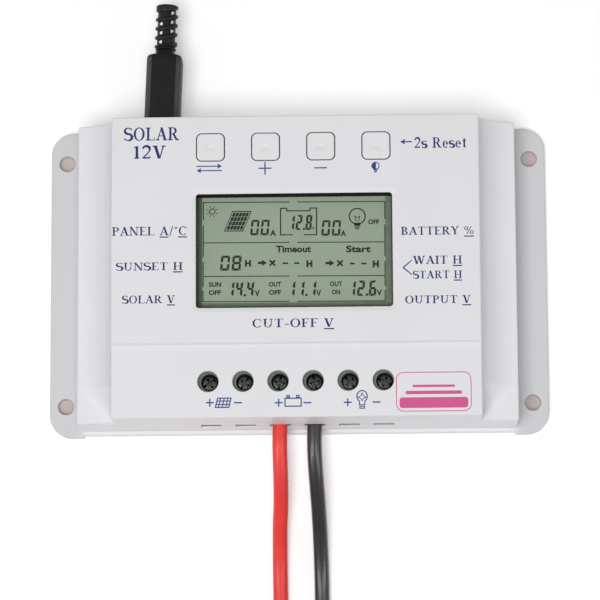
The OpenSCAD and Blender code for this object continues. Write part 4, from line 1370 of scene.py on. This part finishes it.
def build_display():
    z = GLASS + 0.022
    ink, rule = [], []

    def f(points, t=0.02):
        return flat(points, z, t)

    def rect(x0, x1, y0, y1):
        return f([(x0, y0), (x1, y0), (x1, y1), (x0, y1)])

    # ruled frame, broken where the glass's tracks pass
    for y in (19.42, 7.37, -2.62, -10.11):
        for a, b in ((-27.25, -1.85), (0.46, 26.2)):
            rule.append(rect(a, b, y - 0.15, y + 0.15))
    for x in (-27.1, 26.05):
        for top, low in ((19.42, 7.37), (7.37, -2.62), (-2.62, -10.11)):
            mid, g = (top + low) / 2, (top - low) * 0.07
            rule.append(rect(x - 0.17, x + 0.17, low + 0.15, mid - g))
            rule.append(rect(x - 0.17, x + 0.17, mid + g, top - 0.15))
    # row 1
    sx, sy = -24.5, 16.7
    ink.append(hoop(sx, sy, 0.95, 0.26, z, 32, 0.02))
    for k in range(8):
        a = math.radians(22.5 + 45 * k)
        ink.append(line(sx + 1.2 * math.cos(a), sy + 1.2 * math.sin(a), sx + 1.75 * math.cos(a), sy + 1.75 * math.sin(a), 0.2, z, 0.02))
    # slanted panel of 5 x 4 cells inside a double outline, on a short stand
    def skew(u, v):
        return (-20.85 + 5.35 * u + 2.35 * v, 10.9 + 5.75 * v)

    def cell(u0, u1, v0, v1):
        return f([skew(u0, v0), skew(u1, v0), skew(u1, v1), skew(u0, v1)])
    for i in range(5):
        for j in range(4):
            ink.append(cell(0.05 + 0.18 * i + 0.014, 0.05 + 0.18 * (i + 1) - 0.014, 0.05 + 0.225 * j + 0.014, 0.05 + 0.225 * (j + 1) - 0.014))
    o = [skew(-0.03, -0.03), skew(1.03, -0.03), skew(1.03, 1.03), skew(-0.03, 1.03)]
    q = [skew(0.012, 0.02), skew(0.988, 0.02), skew(0.988, 0.98), skew(0.012, 0.98)]
    ink.append(loft([at_z(o, z - 0.02), at_z(o, z + 0.02), at_z(q, z + 0.02), at_z(q, z - 0.02)], ring=True))
    # amps in and out: middle segments off, so two halves with a break
    for a, b, y0, y1 in ((-13.38, -8.11, 9.54, 14.16), (7.41, 12.79, 9.30, 13.92)):
        ink += digits("00", a, b + 0.5, y0, y1, z, w=0.63)
    for x0, x1, y0, y1 in ((-7.53, -5.77, 9.34, 11.13), (13.10, 14.71, 9.11, 10.90)):
        ink += word("A", x0, x1, y0, y1, z, 0.035)
    # battery outline with its two terminals
    ink.append(rect(-4.65, -4.3, 9.47, 17.4))
    ink.append(rect(5.9, 6.25, 9.47, 17.4))
    ink.append(rect(-2.85, 4.35, 16.62, 16.94))
    ink.append(rect(-2.85, -2.53, 16.94, 17.4))
    ink.append(rect(4.03, 4.35, 16.94, 17.4))
    ink.append(rect(-4.3, -0.9, 9.47, 9.78))
    ink.append(rect(2.3, 5.9, 9.47, 9.78))
    ink.append(rect(-4.65, -2.53, 17.4, 17.73))
    ink.append(rect(4.03, 6.25, 17.4, 17.73))
    ink += digits("12.8", -2.35, 4.9, 11.04, 15.52, z, w=0.62)
    ink += word("V", 4.75, 5.5, 11.0, 12.0, z, 0.03)
    # lamp with rays, filament and cap
    bx, by = 17.98, 15.05
    ink.append(hoop(bx, by, 2.5, 0.34, z, 48, 0.02))
    ink.append(f([(bx - 0.95, by - 2.0), (bx + 0.95, by - 2.0), (bx + 0.85, by - 2.85), (bx - 0.85, by - 2.85)]))
    ink.append(rect(bx - 0.8, bx + 0.8, by - 3.35, by - 3.05))
    ink.append(rect(bx - 0.6, bx + 0.6, by - 3.85, by - 3.55))
    for s in (-1, 1):
        ink.append(line(bx + s * 0.35, by - 1.75, bx + s * 0.75, by + 0.1, 0.2, z, 0.02))
        ink.append(line(bx + s * 0.75, by + 0.12, bx + s * 0.05, by - 0.45, 0.2, z, 0.018))
    ink += word("OFF", 21.17, 24.39, 12.6, 14.1, z, 0.035)
    # row 2
    ink += word("Timeout", -5.80, 4.44, 4.4, 6.4, z, 0.034)
    ink += word("Start", 14.67, 21.9, 4.3, 6.35, z, 0.034)
    ink += digits("08", -22.19, -15.8, -0.93, 3.53, z, w=0.68)
    for x0, x1, y0, y1 in ((-14.88, -13.12, 0.20, 2.20), (3.10, 4.85, -0.05, 2.0), (22.45, 24.26, -0.21, 1.87)):
        ink += word("H", x0, x1, y0, y1, z, 0.06)
    for x0, y in ((-11.08, 1.34), (8.65, 1.16)):
        ink.append(f([(x0, y - 0.36), (x0 + 1.2, y - 0.36), (x0 + 1.2, y - 0.92), (x0 + 2.63, y), (x0 + 1.2, y + 0.92), (x0 + 1.2, y + 0.36), (x0, y + 0.36)]))
    for x0, y in ((-7.71, 1.3), (12.01, 1.1)):
        c, r, w = x0 + 0.87, 0.8, 0.19
        pts = [(-r - w, -r + w), (-r + w, -r - w), (0, -2 * w), (r - w, -r - w), (r + w, -r + w), (2 * w, 0), (r + w, r - w), (r - w, r + w), (0, 2 * w), (-r + w, r + w), (-r - w, r - w), (-2 * w, 0)]
        ink.append(f([(c + px, y + py) for px, py in pts]))
    for a, b, y in ((-3.86, -2.25, 1.18), (-0.50, 1.05, 1.18), (15.77, 17.15, 0.97), (19.13, 20.6, 0.97)):
        ink.append(rect(a, b, y - 0.24, y + 0.24))
    # row 3
    for x0, top, low in ((-25.42, "SUN", "OFF"), (-7.89, "OUT", "OFF"), (9.91, "OUT", "ON")):
        ink += word(top, x0, x0 + 3.6, -5.75, -4.3, z, 0.035)
        w = 3.6 if low == "OFF" else 2.4
        ink += word(low, x0 + (3.6 - w) / 2, x0 + (3.6 + w) / 2, -8.15, -6.7, z, 0.035)
    for t, x0, x1 in (("14.4", -20.22, -12.1), ("11.1", -2.55, 6.05), ("12.6", 15.07, 23.7)):
        ink += digits(t, x0, x1, -8.6, -4.1, z, w=0.68)
    for x0, x1 in ((-11.98, -10.52), (5.95, 7.4), (23.6, 25.1)):
        ink += word("V", x0, x1, -8.6, -6.8, z, 0.035)
    dark = mesh_obj("lcd_segments", *merge([tilted(p) for p in ink]))
    tidy(dark, 30, weighted=False)
    dress(dark, "lcd_dark")
    rules = mesh_obj("lcd_rules", *merge([tilted(p) for p in rule]))
    tidy(rules, 30, weighted=False)
    dress(rules, "lcd_line")
    # painted shadow of the window's walls on the glass, dark on the left, lighter on the right and along the foot
    lx0, lx1 = WIN_X - WIN_W / 2 + 0.02, WIN_X + WIN_W / 2 - 0.02
    ly0, ly1 = WIN_Y - WIN_H / 2 + 0.02, WIN_Y + WIN_H / 2 - 0.02
    left = [flat([(lx0, ly0), (-27.4, ly0 + 0.3), (-27.35, ly1), (lx0, ly1)], GLASS + 0.012, 0.006, 0.01)]
    ob = mesh_obj("lcd_border_left", *merge(left))
    tidy(ob, 30, weighted=False)
    dress(ob, "lcd_edge")
    right = [flat([(26.25, ly0 + 0.3), (lx1, ly0), (lx1, ly1), (26.25, ly1)], GLASS + 0.012, 0.006, 0.01),
             flat([(lx0 + 0.9, ly0), (lx1 - 0.3, ly0), (26.3, -10.4), (-27.4, -10.4)], GLASS + 0.008, 0.006, 0.01)]
    ob = mesh_obj("lcd_border_right", *merge(right))
    tidy(ob, 30, weighted=False)
    dress(ob, "lcd_side")


build_display()


# ---------------------------------------------------------------- stage
def plane(name, half, z):
    ob = mesh_obj(name, [(-half, -half, z), (half, -half, z), (half, half, z), (-half, half, z)], [(0, 1, 2, 3)])
    return ob


def build_stage():
    floor = plane("floor", 4000, -0.15)
    m, nt, bsdf, coords = node_mat("floor_paper")
    tone = add_noise(nt, coords, 60)
    ramp = nt.nodes.new("ShaderNodeValToRGB")
    ramp.color_ramp.elements[0].color, ramp.color_ramp.elements[1].color = (0.86, 0.86, 0.865, 1), (0.87, 0.87, 0.875, 1)
    nt.links.new(tone.outputs["Fac"], ramp.inputs["Fac"])
    nt.links.new(ramp.outputs["Color"], bsdf.inputs["Base Color"])
    bsdf.inputs["Roughness"].default_value = 0.9
    bsdf.inputs["Specular IOR Level"].default_value = 0.1
    bsdf.inputs["Emission Color"].default_value = (1, 1, 1, 1)
    bsdf.inputs["Emission Strength"].default_value = FLOOR_GLOW
    floor.data.materials.append(m)
    # painted shade: a pinkish grey sheet under the back plate, seen through its wall holes in place of the shadowed
    # floor
    pad = mesh_obj("bench_pad", *loft([at_z(rrect(145.0, 88.6, 5.0), z) for z in (-0.12, -0.06)]))
    pm, pnt, pbsdf, pcoords = node_mat("bench_card")
    grain = add_noise(pnt, pcoords, 3)
    pramp = pnt.nodes.new("ShaderNodeValToRGB")
    pramp.color_ramp.elements[0].color, pramp.color_ramp.elements[1].color = (0.50, 0.43, 0.415, 1), (0.56, 0.49, 0.47, 1)
    pnt.links.new(grain.outputs["Fac"], pramp.inputs["Fac"])
    pnt.links.new(pramp.outputs["Color"], pbsdf.inputs["Base Color"])
    pbsdf.inputs["Roughness"].default_value = 0.9
    pad.data.materials.append(pm)
    world = bpy.data.worlds.new("studio")
    scene.world = world
    world.use_nodes = True
    nt = world.node_tree
    back = nt.nodes["Background"]
    back.inputs["Color"].default_value = (1, 1, 1, 1)
    path = nt.nodes.new("ShaderNodeLightPath")
    span = nt.nodes.new("ShaderNodeMapRange")
    span.inputs["To Min"].default_value, span.inputs["To Max"].default_value = WORLD, 1.0
    nt.links.new(path.outputs["Is Camera Ray"], span.inputs["Value"])
    nt.links.new(span.outputs["Result"], back.inputs["Strength"])
    for name, place, size, power in LIGHTS:
        data = bpy.data.lights.new(name, "AREA")
        data.shape, data.size, data.energy = "DISK", size, power
        ob = bpy.data.objects.new(name, data)
        scene.collection.objects.link(ob)
        ob.location = place
        ob.rotation_mode = "QUATERNION"
        ob.rotation_quaternion = (Vector((0, 0, 0.02)) - Vector(place)).to_track_quat("-Z", "Y")
        ob.visible_glossy = False
    # long soft strips that only show as lengthwise sheen on the round and glossy parts
    for name, place, power in STRIPS:
        data = bpy.data.lights.new(name, "AREA")
        data.shape, data.size, data.size_y, data.energy = "RECTANGLE", 0.16, 1.1, power
        ob = bpy.data.objects.new(name, data)
        scene.collection.objects.link(ob)
        ob.location = place
        ob.rotation_mode = "QUATERNION"
        ob.rotation_quaternion = (Vector((0, -0.06, 0.0)) - Vector(place)).to_track_quat("-Z", "Y")
        ob.visible_diffuse = False
    scene.view_settings.view_transform = "Standard"
    scene.view_settings.look = "None"


WORLD, FLOOR_GLOW = 0.30, 0.18
LIGHTS = [("key_light", (-0.12, -0.40, 1.6), 0.80, 20.1)]
STRIPS = [("left_strip", (-0.62, -0.12, 0.80), 4.0), ("right_strip", (0.62, -0.12, 0.80), 3.0)]
build_stage()


# ---------------------------------------------------------------- carried-over CAD nodes
CARRIED = {
    "case_screws": "steel", "main_board": "board", "board_screws": "steel", "heat_sink": "alu", "power_transistors": "component",
    "capacitors": "capacitor", "controller_chip": "component", "fuse_holder": "component", "blade_fuse": "fuse",
    "pv_terminal_block": "terminal", "battery_terminal_block": "terminal", "load_terminal_block": "terminal",
    "contact_tongues": "brass", "jack_socket": "component", "display_board": "board", "display_screws": "steel", "board_link": "component",
    "tact_switches": "component", "lcd_gasket": "foam", "lcd_frame": "holder", "backlight": "diffuser", "lcd_glass": "lcd",
    "plug_pin": "steel", "thermistor_bead": "component", "bare_ends": "copper",
}
for n in nodes:
    if n.startswith("plunger_"):
        CARRIED[n] = "component"
    if n.endswith("_cage"):
        CARRIED[n] = "cage"
for n, key in CARRIED.items():
    ob = nodes[n]
    ob.data.materials.clear()
    ob.data.materials.append(M[key])
